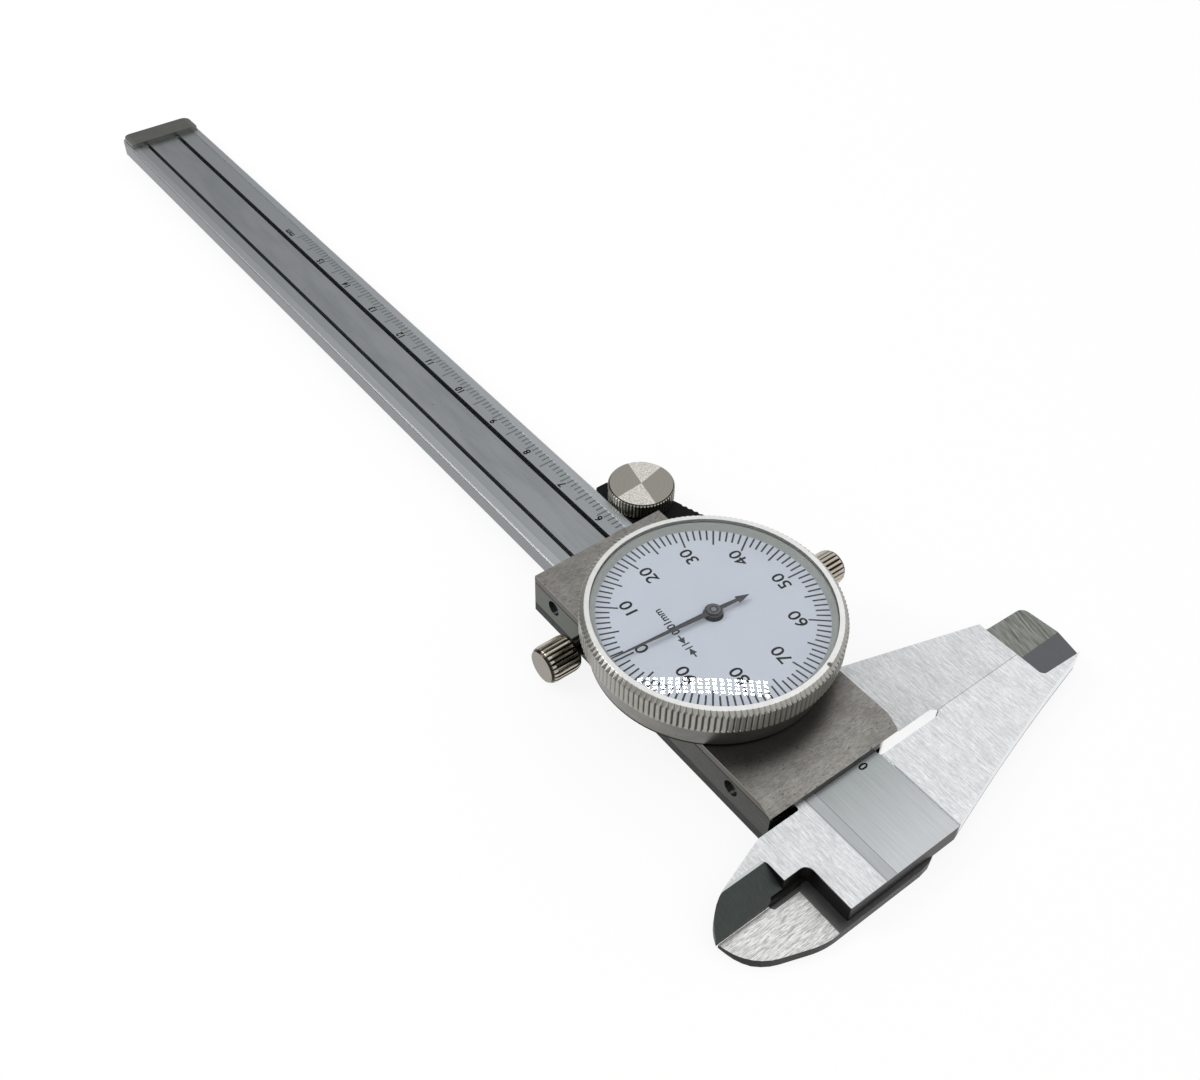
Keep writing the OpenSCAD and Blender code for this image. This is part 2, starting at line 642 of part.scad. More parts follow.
// Arbor with the leaves that run in the rack
module rack_pinion() {
    color("silver") translate([pinion_x, pinion_y, 0]) {
        translate([0, 0, cavity_z0 + 0.1]) linear_extrude(cavity_h - 0.25)
            polygon(gear(rack_leaves, rack_module, 90));
        translate([0, 0, cavity_z0 + 0.1]) cylinder(r = 0.3, h = cover_z0 - cavity_z0);
        translate([0, 0, cover_z0 + 0.05]) cylinder(r = arbor_r, h = bridge_z0 + bridge_t - cover_z0 + 0.2);
        translate([0, 0, wheel_z - 0.3]) cylinder(r = 0.9, h = 0.3);
    }
}

// Spoked wheel outline
module wheel_outline(bore) {
    difference() {
        polygon(gear(wheel_teeth, wheel_module, mesh_angle));
        circle(r = bore);
        for (a = [0 : 90 : 270]) rotate(a + 45) intersection() {
            difference() {
                circle(r = wheel_teeth * wheel_module / 2 - 1);
                circle(r = 1.9);
            }
            translate([1.6, 1.6]) square(20);
        }
    }
}

module drive_wheel() {
    color("gold") translate([pinion_x, pinion_y, wheel_z]) linear_extrude(wheel_t) wheel_outline(arbor_r);
}

// Second wheel on the same arbor, sprung against the first to take up backlash
module backlash_wheel() {
    color("gold") translate([pinion_x, pinion_y, wheel_z + wheel_t + 0.05]) linear_extrude(wheel_t)
        wheel_outline(arbor_r + turn_gap);
}

module backlash_spring() {
    color("silver") translate([pinion_x, pinion_y, wheel_z + 2 * wheel_t + 0.25]) rotate(30)
        rotate_extrude(angle = 290) translate([1.6, 0]) circle(r = 0.2);
}

// Arbor of the hand
module centre_pinion() {
    color("silver") translate([dial_x, dial_y, 0]) {
        translate([0, 0, floor_z1 + 0.6]) linear_extrude(bridge_z0 - floor_z1 - 1)
            polygon(gear(centre_leaves, wheel_module, mesh_angle + 180 + 180 / centre_leaves));
        translate([0, 0, cover_z1 - 0.5]) cylinder(r = arbor_r, h = hand_z + hand_t - cover_z1 + 0.55);
    }
}

// Tapered hand with its hub disc and arrow tail
module hand() {
    reach = seat_in - 0.1;
    color("#3a3a3c") translate([dial_x, dial_y, hand_z]) rotate(hand_angle) difference() {
        linear_extrude(hand_t) union() {
            polygon([[reach, 0.12], [0, 0.62], [-4.3, 0.3], [-4.3, 0.85], [-6.3, 0],
                [-4.3, -0.85], [-4.3, -0.3], [0, -0.62], [reach, -0.12]]);
            circle(r = 1.3);
        }
        translate([0, 0, -1]) cylinder(r = arbor_r, h = 5);
    }
}

module hand_cap() {
    color("dimgray") translate([dial_x, dial_y, hand_z + hand_t]) difference() {
        cylinder(r = 1, h = 0.25);
        translate([0, 0, -1]) cylinder(r = arbor_r, h = 1.1);
    }
}

// Knurled bezel: ring, shelf for the dial face and skirt inside the case
module bezel_ring() {
    z0 = case_z1 + run_gap;
    knurl_cut = 0.24;
    lean = atan((rim_inset - knurl_cut + 0.05) / 0.65);
    color("lightgray") translate([dial_x, dial_y, 0]) difference() {
        rotate_extrude($fn = 160) polygon([[skirt_in, floor_z1 + 0.15], [skirt_r, floor_z1 + 0.15],
            [skirt_r, z0], [bezel_r, z0], [bezel_r, rim_z - 0.65], [rim_r, rim_z],
            [rim_in, rim_z], [rim_in, face_z1 - face_t], [skirt_in, face_z1 - face_t]]);
        knurl(bezel_r, bezel_ribs, knurl_cut, z0 - 1, rim_z);
        // the grooves run on up the sloped edge and fade out at the rim
        for (i = [0 : bezel_ribs - 1]) rotate(i * 360 / bezel_ribs)
            translate([bezel_r - knurl_cut, 0, rim_z - 0.65]) rotate([0, -lean, 0]) translate([0, 0, -0.3])
                linear_extrude(1.6) polygon([[0, 0], [0.9, -1.44 / cos(lean)], [0.9, 1.44 / cos(lean)]]);
        translate([0, 0, snap_z]) rotate_extrude() translate([case_in, 0]) circle(r = snap_wire + 0.08);
    }
}

module dial_face() {
    color("aliceblue") translate([dial_x, dial_y, face_z1 - face_t]) difference() {
        cylinder(r = dial_r, h = face_t, $fn = 128);
        translate([0, 0, -1]) cylinder(r = 1.5, h = 5);
    }
}

// Sloped ring between the face and the crystal
module crystal_seat() {
    color("darkseagreen") translate([dial_x, dial_y, 0]) rotate_extrude($fn = 128)
        polygon([[seat_in, face_z1], [dial_r, face_z1], [dial_r, crystal_z], [dial_r - 0.35, crystal_z]]);
}

// Domed crystal
module crystal() {
    r = dial_r;
    ball = (r * r + dome * dome) / (2 * dome);
    function dome_line(z, xs) = [for (x = xs) [x, z + dome - ball + sqrt(ball * ball - x * x)]];
    color("white", 0.3) translate([dial_x, dial_y, crystal_z]) rotate_extrude($fn = 128)
        polygon(concat(dome_line(0, [0 : r / 6 : r]), dome_line(crystal_t, [r : -r / 6 : 0])));
}

module thumb_roller() {
    color("silver") translate([roller_x, roller_y, 0]) difference() {
        rotate_extrude() polygon([[0, 0.4], [axle_r, 0.4], [axle_r, roller_z0 - 0.2], [1.8, roller_z0 - 0.2],
            [1.8, roller_z0], [roller_r - 0.3, roller_z0], [roller_r, roller_z0 + 0.3],
            [roller_r, roller_z1 - 0.3], [roller_r - 0.3, roller_z1], [0, roller_z1]]);
        knurl(roller_r, roller_ribs, 0.22, roller_z0 - 1, roller_z1 + 1);
        translate([0, 0, 0.8]) difference() {
            cylinder(r = 3, h = 0.5);
            translate([0, 0, -1]) cylinder(r = axle_r - 0.25, h = 3);
        }
    }
}

// Clip under the thumb rest
module roller_clip() {
    color("dimgray") translate([roller_x, roller_y, 0.85]) difference() {
        cylinder(r = 1.9, h = 0.4);
        translate([0, 0, -1]) cylinder(r = axle_r - 0.25, h = 3);
        translate([-3, -0.6, -1]) cube([3, 1.2, 3]);
    }
}

// Knurled head with a round shoulder at its neck, and the shank, along +Z
module thumb_screw(shank, shank_len, head_r, head_len, neck, ribs) {
    difference() {
        rotate_extrude() polygon([[0, -neck - shank_len], [shank, -neck - shank_len], [shank, 0],
            [head_r - 0.65, 0], [head_r - 0.28, 0.3], [head_r - 0.08, 0.75], [head_r, 1.2],
            [head_r, head_len - 1], [head_r - 0.1, head_len - 0.5], [head_r - 0.42, head_len],
            [0, head_len]]);
        knurl(head_r, ribs, 0.3, -1, head_len + 1);
    }
}

module lock_screw() {
    neck = 2.1;
    tip = half + run_gap + gib_t + 0.02;
    color("silver") translate([lock_x, slider_high + neck, lock_z]) rotate([-90, 0, 0])
        thumb_screw(lock_shank, slider_high - tip, lock_r, lock_len, neck, 24);
}

module bezel_clamp_screw() {
    neck = 0.8;
    color("silver") translate([dial_x, clamp_face - neck, clamp_z]) rotate([90, 0, 0])
        thumb_screw(clamp_shank, 0.38, clamp_r, clamp_len, neck, 22);
}

beam();
rack();
cover_strip();
rack_screws();
end_stop();
end_stop_screws();
slider_frame();
slider_cover();
gib();
gib_screws();
depth_rod();
depth_rod_screws();
thumb_rest();
thumb_rest_screws();
dial_case();
case_screws();
movement_bridge();
bridge_pillars();
bridge_screws();
arbor_bushes();
bezel_snap_ring();
clamp_shoe();
rack_pinion();
drive_wheel();
backlash_wheel();
backlash_spring();
centre_pinion();
hand();
hand_cap();
bezel_ring();
dial_face();
crystal_seat();
crystal();
thumb_roller();
roller_clip();
lock_screw();
bezel_clamp_screw();
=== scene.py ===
import math

import bpy
from mathutils import Matrix, Vector


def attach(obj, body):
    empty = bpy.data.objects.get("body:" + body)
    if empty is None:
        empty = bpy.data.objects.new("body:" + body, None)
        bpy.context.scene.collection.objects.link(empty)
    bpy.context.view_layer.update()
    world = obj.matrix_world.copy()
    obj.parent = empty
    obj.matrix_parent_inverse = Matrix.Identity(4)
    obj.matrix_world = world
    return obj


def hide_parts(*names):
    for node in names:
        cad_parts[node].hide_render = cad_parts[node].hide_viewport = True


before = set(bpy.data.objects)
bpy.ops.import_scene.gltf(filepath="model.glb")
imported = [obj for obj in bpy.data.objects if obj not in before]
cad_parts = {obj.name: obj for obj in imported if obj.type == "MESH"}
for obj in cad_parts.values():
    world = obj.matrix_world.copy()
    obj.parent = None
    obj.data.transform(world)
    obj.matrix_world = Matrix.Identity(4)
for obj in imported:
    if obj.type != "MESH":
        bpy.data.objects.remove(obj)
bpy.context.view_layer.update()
scene = bpy.context.scene


# Camera. The caliper is looked down on from above its fixed jaw, with the
# beam running away to the upper left. Everything is sharp, near and far.
VIEWPOINT = (-0.06088, 0.09171, 0.1548)
LOOKS_ALONG = Vector((0.5496, -0.4408, -0.7097)).normalized()
PICTURE_RIGHT = Vector((-0.6089, -0.7930, 0.0210)).normalized()

camera = bpy.data.objects.new("camera", bpy.data.cameras.new("camera"))
camera.data.sensor_width = 36
camera.data.lens = 40.02
camera.data.clip_start = 0.01
picture_up = PICTURE_RIGHT.cross(LOOKS_ALONG)
camera.matrix_world = Matrix.Translation(VIEWPOINT) @ Matrix(
    (PICTURE_RIGHT, picture_up, -LOOKS_ALONG)).transposed().to_4x4()
scene.collection.objects.link(camera)
scene.camera = camera
scene.view_settings.view_transform = "Standard"


# Studio. One big soft window stands beyond the head of the caliper and fades
# towards the far end of the beam; a soft lamp hangs on the left.
def srgb(code):
    """A hex colour as linear red, green, blue and alpha."""
    parts = [int(code[i:i + 2], 16) / 255 for i in (1, 3, 5)]
    return [p / 12.92 if p < 0.04045 else ((p + 0.055) / 1.055) ** 2.4
            for p in parts] + [1.0]


def add(tree, kind, *inputs, **settings):
    """Adds one node, sets its fields, then sets or links its inputs.

    The inputs come in the node's own order, counting those in use; a dict
    gives them by name. A node stands for its first output in use."""
    node = tree.nodes.new(kind)
    for field, value in settings.items():
        setattr(node, field, value)
    in_use = [s for s in node.inputs if s.enabled]
    pairs = []
    for place, value in enumerate(inputs):
        if isinstance(value, dict):
            pairs += [(next(s for s in in_use if s.name == name), given)
                      for name, given in value.items()]
        else:
            pairs.append((in_use[place], value))
    for socket, value in pairs:
        if isinstance(value, bpy.types.Node):
            value = next(s for s in value.outputs if s.enabled)
        if isinstance(value, bpy.types.NodeSocket):
            tree.links.new(value, socket)
        else:
            socket.default_value = value
    return node


# RAMP takes a value, the two ends between which it counts, and what these
# ends turn into; left out, they turn into 0 and 1.
MATH, VECTOR, RAMP = "ShaderNodeMath", "ShaderNodeVectorMath", "ShaderNodeMapRange"
PLACES = "ShaderNodeTexCoord"
WINDOW_TOWARDS = Vector((-0.60, -0.50, 0.62)).normalized()
WINDOW_EDGE = (-0.25, 0.6)          # cosines from its middle: faded, and full
FADED, FULL = 0.34, 1.0

scene.world = bpy.data.worlds.new("studio")
scene.world.use_nodes = True
sky = scene.world.node_tree
sky.nodes.clear()
facing = add(sky, VECTOR, add(sky, PLACES).outputs["Generated"],
             WINDOW_TOWARDS, operation="DOT_PRODUCT")
add(sky, "ShaderNodeOutputWorld", add(
    sky, "ShaderNodeBackground", srgb("#ffffff"), add(
        sky, MATH, add(sky, RAMP, facing.outputs["Value"], *WINDOW_EDGE, FADED, FULL),
        add(sky, "ShaderNodeLightPath").outputs["Is Camera Ray"],
        operation="MAXIMUM")))

left_lamp = bpy.data.objects.new("left_lamp", bpy.data.lights.new("left_lamp", "AREA"))
left_lamp.data.size = 0.30
left_lamp.data.energy = 1.6
left_lamp.location = (0.42, 0.40, 0.50)
left_lamp.rotation_euler = (
    Vector((0.05, 0.0, 0.0)) - left_lamp.location).to_track_quat("-Z", "Y").to_euler()
scene.collection.objects.link(left_lamp)

# The ceiling lamp: four rows of eighteen LEDs. Only a mirror shows it, so
# that it stands as rows of dots in the crystal and lights nothing else.
LAMP = Vector((0.283, -0.271, 0.600))
LAMP_LENGTH, LAMP_WIDTH = Vector((-0.613, -0.790, 0)), Vector((-0.790, 0.613, 0))
COLUMNS, ROWS = 18, 4
LED_PITCH = (0.0085, 0.0069)        # along the lamp and across it
LED_HALF = (0.0026, 0.0023)         # half of each LED's length and width

corners = [
    LAMP + LAMP_LENGTH * (LED_PITCH[0] * (i - COLUMNS / 2) + LED_HALF[0] * a)
    + LAMP_WIDTH * (LED_PITCH[1] * (j - (ROWS - 1) / 2) + LED_HALF[1] * b)
    for i in range(COLUMNS) for j in range(ROWS)
    for a, b in ((-1, -1), (1, -1), (1, 1), (-1, 1))]
leds = bpy.data.objects.new("led_lamp", bpy.data.meshes.new("led_lamp"))
leds.data.from_pydata(
    corners, [], [tuple(range(k, k + 4)) for k in range(0, len(corners), 4)])
scene.collection.objects.link(leds)
glowing = bpy.data.materials.new("led_light")
glowing.use_nodes = True
tree = glowing.node_tree
tree.nodes.clear()
rays = add(tree, "ShaderNodeLightPath")
add(tree, "ShaderNodeOutputMaterial", add(
    tree, "ShaderNodeMixShader", rays.outputs["Is Singular Ray"],
    add(tree, "ShaderNodeBsdfTransparent"),
    add(tree, "ShaderNodeEmission", srgb("#ffffff"), 30.0)))
leds.data.materials.append(glowing)

# The table top: white board. The camera and the metal see most of it as
# plain white, so that the page stays white and a soft shadow is left.
TABLE = 1.6                         # half its side
TABLE_Z = -4e-5
SEEN_WHITE = 0.86                   # how much of it they see as plain white

table = bpy.data.objects.new("table", bpy.data.meshes.new("table"))
table.data.from_pydata(
    [(-TABLE, -TABLE, TABLE_Z), (TABLE, -TABLE, TABLE_Z),
     (TABLE, TABLE, TABLE_Z), (-TABLE, TABLE, TABLE_Z)], [], [(0, 1, 2, 3)])
scene.collection.objects.link(table)
board = bpy.data.materials.new("white_board")
board.use_nodes = True
tree = board.node_tree
tree.nodes.clear()
rays = add(tree, "ShaderNodeLightPath").outputs
seen = add(tree, MATH, add(
    tree, MATH, rays["Is Camera Ray"], rays["Is Glossy Ray"], operation="MAXIMUM"),
    rays["Is Transmission Ray"], operation="MAXIMUM")
add(tree, "ShaderNodeOutputMaterial", add(
    tree, "ShaderNodeMixShader",
    add(tree, MATH, seen, SEEN_WHITE, operation="MULTIPLY"),
    add(tree, "ShaderNodeBsdfDiffuse", srgb("#f2f2f2")),
    add(tree, "ShaderNodeEmission", srgb("#ffffff"), 1.02)))
table.data.materials.append(board)


# Beam with the fixed jaw, one piece of stainless steel. The faces are belt
# ground along the beam, the jaw coarser than the rest; the narrow sides and
# the hollow-ground blade facets are painted dark, as painted shade.
SPLIT, NOISE, BLEND = "ShaderNodeSeparateXYZ", "ShaderNodeTexNoise", "ShaderNodeMix"
BUMP, PRINCIPLED = "ShaderNodeBump", "ShaderNodeBsdfPrincipled"
OUTPUT = "ShaderNodeOutputMaterial"
# NOISE takes places, scale, detail and roughness; BLEND the second colour's
# share, then both colours; COMPARE a value, a middle and a half width.


def blank(name):
    """A new material: itself, its node tree, and places on it in mm."""
    material = bpy.data.materials.new(name)
    material.use_nodes = True
    tree = material.node_tree
    tree.nodes.clear()
    mm = add(tree, VECTOR, add(tree, PLACES).outputs["Object"], {"Scale": 1000.0},
             operation="SCALE")
    return material, tree, mm


def spots(*size):
    """The scale that makes a pattern's spots so large, in mm along X, Y, Z."""
    return [1 / s for s in size]


def finish(material, *nodes):
    """Gives CAD nodes their material."""
    for name in nodes:
        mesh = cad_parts[name].data
        mesh.materials.clear()
        mesh.materials.append(material)


def belt_grain(tree, mm):
    """Brightness of steel off a coarse belt: short streaks along X, drawn
    0.14 mm wide where the real ones are 0.03, over mottling and clouds."""
    streaks = add(tree, NOISE, add(
        tree, VECTOR, mm, spots(2.0, 0.14, 0.14), operation="MULTIPLY"), 1.0, 3.0, 0.7)
    mottle = add(tree, NOISE, add(
        tree, VECTOR, mm, spots(0.7, 0.35, 0.35), operation="MULTIPLY"), 1.0, 2.5, 0.7)
    cloud = add(tree, NOISE, add(
        tree, VECTOR, mm, spots(5.0, 3.5, 3.0), operation="MULTIPLY"), 1.0, 2.0)
    return add(
        tree, MATH, add(tree, RAMP, streaks, 0.32, 0.68, 0.76, 1.14), add(
            tree, MATH, add(tree, RAMP, mottle, 0.33, 0.67, 0.91, 1.07),
            add(tree, RAMP, cloud, 0.35, 0.70, 0.95, 1.02), operation="MULTIPLY"),
        operation="MULTIPLY")


MEET_Y = -18.5              # from here to their tips the outside jaws meet


def jaw_seam(tree, x, y):
    """The dark line where the closed outside jaws meet, below their slot."""
    return add(tree, MATH, add(
        tree, MATH, add(tree, MATH, x, 0.0, 0.07, operation="COMPARE"),
        add(tree, RAMP, y, MEET_Y + 0.1, MEET_Y - 0.1), operation="MULTIPLY"),
        0.6, operation="MULTIPLY")


HEAD_X = 1.2                # the head lies on the low side of it
BAND = (-7.4, 6.4)          # and has a smooth band between these, across
HEAD_LINE = 4.5             # a step in the band, which shows as a line
SCALE_LINE = 6.28           # the step beside the scale shows as another
SCALE_Z, RAIL_Z = 4.80, 4.95        # heights of the scale and of the rails
TIP_Y, TIP_Z = -36.4, 4.0   # the thinned measuring tips: beyond and below
WEB_Z = 2.6                 # the web in the relief of the blade lies lower
OUTER_WALL = (-4.7, -7.8, 2.15)     # where the jaw's outer wall is in light
SLOT = (1.3, 1.5)           # middle and half width of each half of the slot
SLOT_FIXED_Y = (-13.5, 6.2)         # middle and half length on this jaw

steel, tree, mm = blank("belt_ground_stainless")
x, y, z = add(tree, SPLIT, mm).outputs
up = add(tree, SPLIT, add(tree, PLACES).outputs["Normal"]).outputs["Z"]
steep = add(tree, RAMP, up, 0.40, 0.10)
flat = add(tree, RAMP, up, 0.975, 0.995)
head = add(tree, RAMP, x, HEAD_X + 0.2, HEAD_X - 0.2)
band = add(tree, MATH, add(tree, RAMP, y, BAND[0] - 0.25, BAND[0] + 0.05),
           add(tree, RAMP, y, BAND[1] + 0.25, BAND[1] - 0.05), operation="MULTIPLY")
jaw = add(tree, MATH, head, band, operation="MULTIPLY")
jaw = add(tree, MATH, head, jaw, operation="SUBTRACT")
# The scale and the head's band: smooth satin, cool grey; rails a bit paler.
# The grain is drawn 0.22 mm wide, well over the real one.
fine = add(tree, NOISE, add(
    tree, VECTOR, mm, spots(7.0, 0.22, 0.22), operation="MULTIPLY"), 1.0, 4.0, 0.6)
top = add(tree, BLEND, add(tree, RAMP, z, RAIL_Z - 0.05, RAIL_Z - 0.01),
          srgb("#a6abad"), srgb("#b5b9bc"), data_type="RGBA")
top = add(tree, BLEND, head, top, add(
    tree, BLEND, add(tree, RAMP, x, -1.0, -13.0), srgb("#acb1b2"), srgb("#cdd0d2"),
    data_type="RGBA"), data_type="RGBA")
# The steps are painted as thin dark lines, the painted shade of their walls;
# between the two on the head lies a strip.
step_shade = add(tree, MATH, add(tree, RAMP, add(
    tree, MATH, y, SCALE_LINE, 0.05, operation="COMPARE"), 0.0, 1.0, 0.0, 0.75), add(
    tree, MATH, head, add(tree, MATH, y, HEAD_LINE, 0.06, operation="COMPARE"),
    operation="MULTIPLY"), operation="MAXIMUM")
top = add(tree, BLEND, add(tree, MATH, head, add(
    tree, MATH, y, (BAND[1] + HEAD_LINE) / 2, (BAND[1] - HEAD_LINE) / 2,
    operation="COMPARE"), operation="MULTIPLY"), top, srgb("#b9bcbe"),
    data_type="RGBA")
top = add(tree, BLEND, step_shade, top, srgb("#777b7d"), data_type="RGBA")
grain = add(tree, BLEND, jaw, add(tree, RAMP, fine, 0.3, 0.7, 0.93, 1.05),
            belt_grain(tree, mm))
# The jaw: bright and mottled, with a dark line where it meets the moving
# one, and a smooth grey tip.
top = add(tree, BLEND, jaw, top, srgb("#eceef0"), data_type="RGBA")
top = add(tree, BLEND, 1.0, top, grain, data_type="RGBA", blend_type="MULTIPLY")
top = add(tree, BLEND, jaw_seam(tree, x, y), top, srgb("#8b8d8e"), data_type="RGBA")
tip = add(tree, MATH, add(tree, RAMP, y, TIP_Y + 0.03, TIP_Y - 0.03),
          add(tree, RAMP, z, TIP_Z, TIP_Z - 0.1), operation="MULTIPLY")
top = add(tree, BLEND, tip, top, srgb("#66676a"), data_type="RGBA")
# The web in the relief of the inside blade lies in shade: painted black, as painted shade.
top = add(tree, BLEND, add(tree, RAMP, z, WEB_Z + 0.1, WEB_Z - 0.1), top,
          srgb("#343331"), data_type="RGBA")
# Painted shade: sides and ground facets of the head dark, the sides of the beam paler.
side = add(tree, BLEND, head, srgb("#8b8e90"), srgb("#292826"), data_type="RGBA")
facet = add(tree, BLEND, head, srgb("#7b7e80"), srgb("#454a48"), data_type="RGBA")
facet = add(tree, BLEND, 1.0, facet, add(tree, RAMP, add(tree, NOISE, add(
    tree, VECTOR, mm, spots(2.0, 0.3, 0.5), operation="MULTIPLY"), 1.0, 2.0),
    0.35, 0.65, 0.93, 1.06), data_type="RGBA", blend_type="MULTIPLY")
side = add(tree, BLEND, steep, facet, side, data_type="RGBA")
# Painted highlights: low risers catch the light, and so does the fixed jaw's
# outer wall down to its lower edge. The slot between the outside jaws is
# polished, and painted white as painted light.
side = add(tree, BLEND, add(tree, RAMP, z, SCALE_Z - 0.04, SCALE_Z - 0.02), side,
           srgb("#c9cccd"), data_type="RGBA")
wall = add(tree, MATH, add(
    tree, MATH, add(tree, RAMP, y, OUTER_WALL[1] + 0.2, OUTER_WALL[1] - 0.2),
    add(tree, RAMP, x, OUTER_WALL[0] + 0.1, OUTER_WALL[0] - 0.1),
    operation="MULTIPLY"),
    add(tree, RAMP, z, OUTER_WALL[2] - 0.05, OUTER_WALL[2] + 0.05),
    operation="MULTIPLY")
side = add(tree, BLEND, wall, side, srgb("#f0f2f4"), data_type="RGBA")
slot = add(tree, MATH, add(tree, MATH, x, -SLOT[0], SLOT[1], operation="COMPARE"),
           add(tree, MATH, y, *SLOT_FIXED_Y, operation="COMPARE"),
           operation="MULTIPLY")
side = add(tree, BLEND, slot, side, srgb("#ffffff"), data_type="RGBA")
polished_and_white = add(tree, MATH, slot, add(tree, RAMP, flat, 1.0, 0.0), operation="MULTIPLY")
add(tree, OUTPUT, add(tree, PRINCIPLED, {
    "Base Color": add(tree, BLEND, flat, side, top, data_type="RGBA"),
    "Roughness": add(tree, MATH, polished_and_white, -0.30, add(
        tree, RAMP, grain, 0.80, 1.1, 0.46, 0.34), operation="MULTIPLY_ADD"),
    "Metallic": 1.0,
    "Normal": add(tree, BUMP, {
        "Strength": 1.0, "Distance": 6e-6, "Height": grain})}))
finish(steel, "beam")


# Graduation on the beam: marks and numbers burnt into the scale by laser,
# one mark a millimetre, longer at five and ten, numbered in centimetres.
SUNK, PROUD = 0.008, 0.012          # a print's depth, and how far it stands out
PRINT_MIDDLE = (PROUD - SUNK) / 2


def burnt(name, dark, light):
    """Grey-brown oxide, patchy where the beam dwelt, quite dull."""
    material, tree, mm = blank(name)
    patches = add(tree, NOISE, add(
        tree, VECTOR, mm, spots(0.4, 0.4, 0.4), operation="MULTIPLY"), 1.0)
    add(tree, OUTPUT, add(tree, PRINCIPLED, {
        "Base Color": add(tree, BLEND, patches, srgb(dark), srgb(light),
                          data_type="RGBA"), "Roughness": 0.6}))
    return material


marks = bpy.data.node_groups.new("graduation_marks", "GeometryNodeTree")
for label, kind in (
        ("Count", "Int"), ("Step", "Float"), ("First Turn", "Float"),
        ("Turn", "Float"), ("Edge", "Float"), ("Short", "Float"),
        ("Five", "Float"), ("Ten", "Float"), ("Width", "Float"),
        ("Thickness", "Float"), ("Origin", "Vector"), ("Ink", "Material")):
    marks.interface.new_socket(label, in_out="INPUT",
                               socket_type="NodeSocket" + kind)
marks.interface.new_socket("Geometry", in_out="OUTPUT",
                           socket_type="NodeSocketGeometry")
given = add(marks, "NodeGroupInput").outputs
index = add(marks, "GeometryNodeInputIndex")
length = given["Short"]
for many, longer in ((5, "Five"), (10, "Ten")):
    on_it = add(marks, "FunctionNodeCompare", {
        "A": add(marks, MATH, index, float(many), operation="MODULO"), "B": 0.5},
        operation="LESS_THAN")
    length = add(marks, "GeometryNodeSwitch", {
        "Switch": on_it, "False": length, "True": given[longer]}, input_type="FLOAT")
turn = add(marks, MATH, given["First Turn"], add(
    marks, MATH, index, given["Turn"], operation="MULTIPLY"))
reach = add(marks, MATH, given["Edge"], add(
    marks, MATH, length, 0.5, operation="MULTIPLY"), operation="SUBTRACT")
sideways = add(marks, MATH, reach, add(marks, MATH, turn, operation="COSINE"),
               operation="MULTIPLY")
spot = add(marks, "ShaderNodeCombineXYZ", {
    "X": add(marks, MATH, sideways, add(
        marks, MATH, index, given["Step"], operation="MULTIPLY")),
    "Y": add(marks, MATH, reach, add(marks, MATH, turn, operation="SINE"),
             operation="MULTIPLY")})
row = add(marks, "GeometryNodeSetPosition", {
    "Geometry": add(marks, "GeometryNodeMeshLine", {"Count": given["Count"]}),
    "Position": add(marks, VECTOR, spot, given["Origin"])})
laid = add(marks, "GeometryNodeInstanceOnPoints", {
    "Points": row,
    "Instance": add(marks, "GeometryNodeMeshCube", {"Size": (1, 1, 1)}),
    "Rotation": add(marks, "FunctionNodeEulerToRotation", add(
        marks, "ShaderNodeCombineXYZ", {"Z": turn})),
    "Scale": add(marks, "ShaderNodeCombineXYZ", {
        "X": length, "Y": given["Width"], "Z": given["Thickness"]})})
add(marks, "NodeGroupOutput", add(marks, "GeometryNodeSetMaterial", {
    "Geometry": add(marks, "GeometryNodeRealizeInstances", laid),
    "Material": given["Ink"]}))


def grow(name, group, values):
    """Runs a Geometry Nodes tree once and keeps its result as a mesh."""
    made = bpy.data.objects.new(name, bpy.data.meshes.new(name))
    scene.collection.objects.link(made)
    modifier = made.modifiers.new("made_by", "NODES")
    modifier.node_group = group
    for item in group.interface.items_tree:
        if item.in_out == "INPUT":
            modifier[item.identifier] = values[item.name]
    bpy.context.view_layer.update()
    mesh = bpy.data.meshes.new_from_object(
        made.evaluated_get(bpy.context.evaluated_depsgraph_get()))
    made.modifiers.remove(modifier)
    made.data = mesh
    return made


def lettering(name, words, ink, body, bold):
    """One mesh of several short texts: (text, centre, height, turn, width).

    Sizes are in mm. Each text is struck four times, a little off its place
    to every side, which makes it so much bolder."""
    parts = []
    for text, centre, height, turned, width in words:
        curve = bpy.data.curves.new(name, "FONT")
        curve.body = text
        curve.align_x = curve.align_y = "CENTER"
        curve.size = height / 0.729      # of the type's full height
        curve.extrude = (SUNK + PROUD) / 2
        curve.resolution_u = 4
        letters = bpy.data.objects.new(name, curve)
        scene.collection.objects.link(letters)
        bpy.context.view_layer.update()
        mesh = bpy.data.meshes.new_from_object(
            letters.evaluated_get(bpy.context.evaluated_depsgraph_get()))
        bpy.data.objects.remove(letters)
        ends = [v.co for v in mesh.vertices]
        middle = (max(c.y for c in ends) + min(c.y for c in ends)) / 2
        for aside, above in ((bold, 0), (-bold, 0), (0, bold), (0, -bold)):
            struck = mesh.copy()
            struck.transform(
                Matrix.Scale(0.001, 4)
                @ Matrix.Translation(Vector(centre) + Vector((aside, above, PRINT_MIDDLE)))
                @ Matrix.Rotation(turned, 4, "Z")
                @ Matrix.Diagonal((width, 1, 1, 1))
                @ Matrix.Translation((0, -middle, 0)))
            parts.append(struck)
    whole, *others = [bpy.data.objects.new(name, part) for part in parts]
    for piece in (whole, *others):
        scene.collection.objects.link(piece)
    with bpy.context.temp_override(
            active_object=whole, selected_editable_objects=[whole, *others]):
        bpy.ops.object.join()
    whole.data.materials.clear()
    whole.data.materials.append(ink)
    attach(whole, body)
    return whole


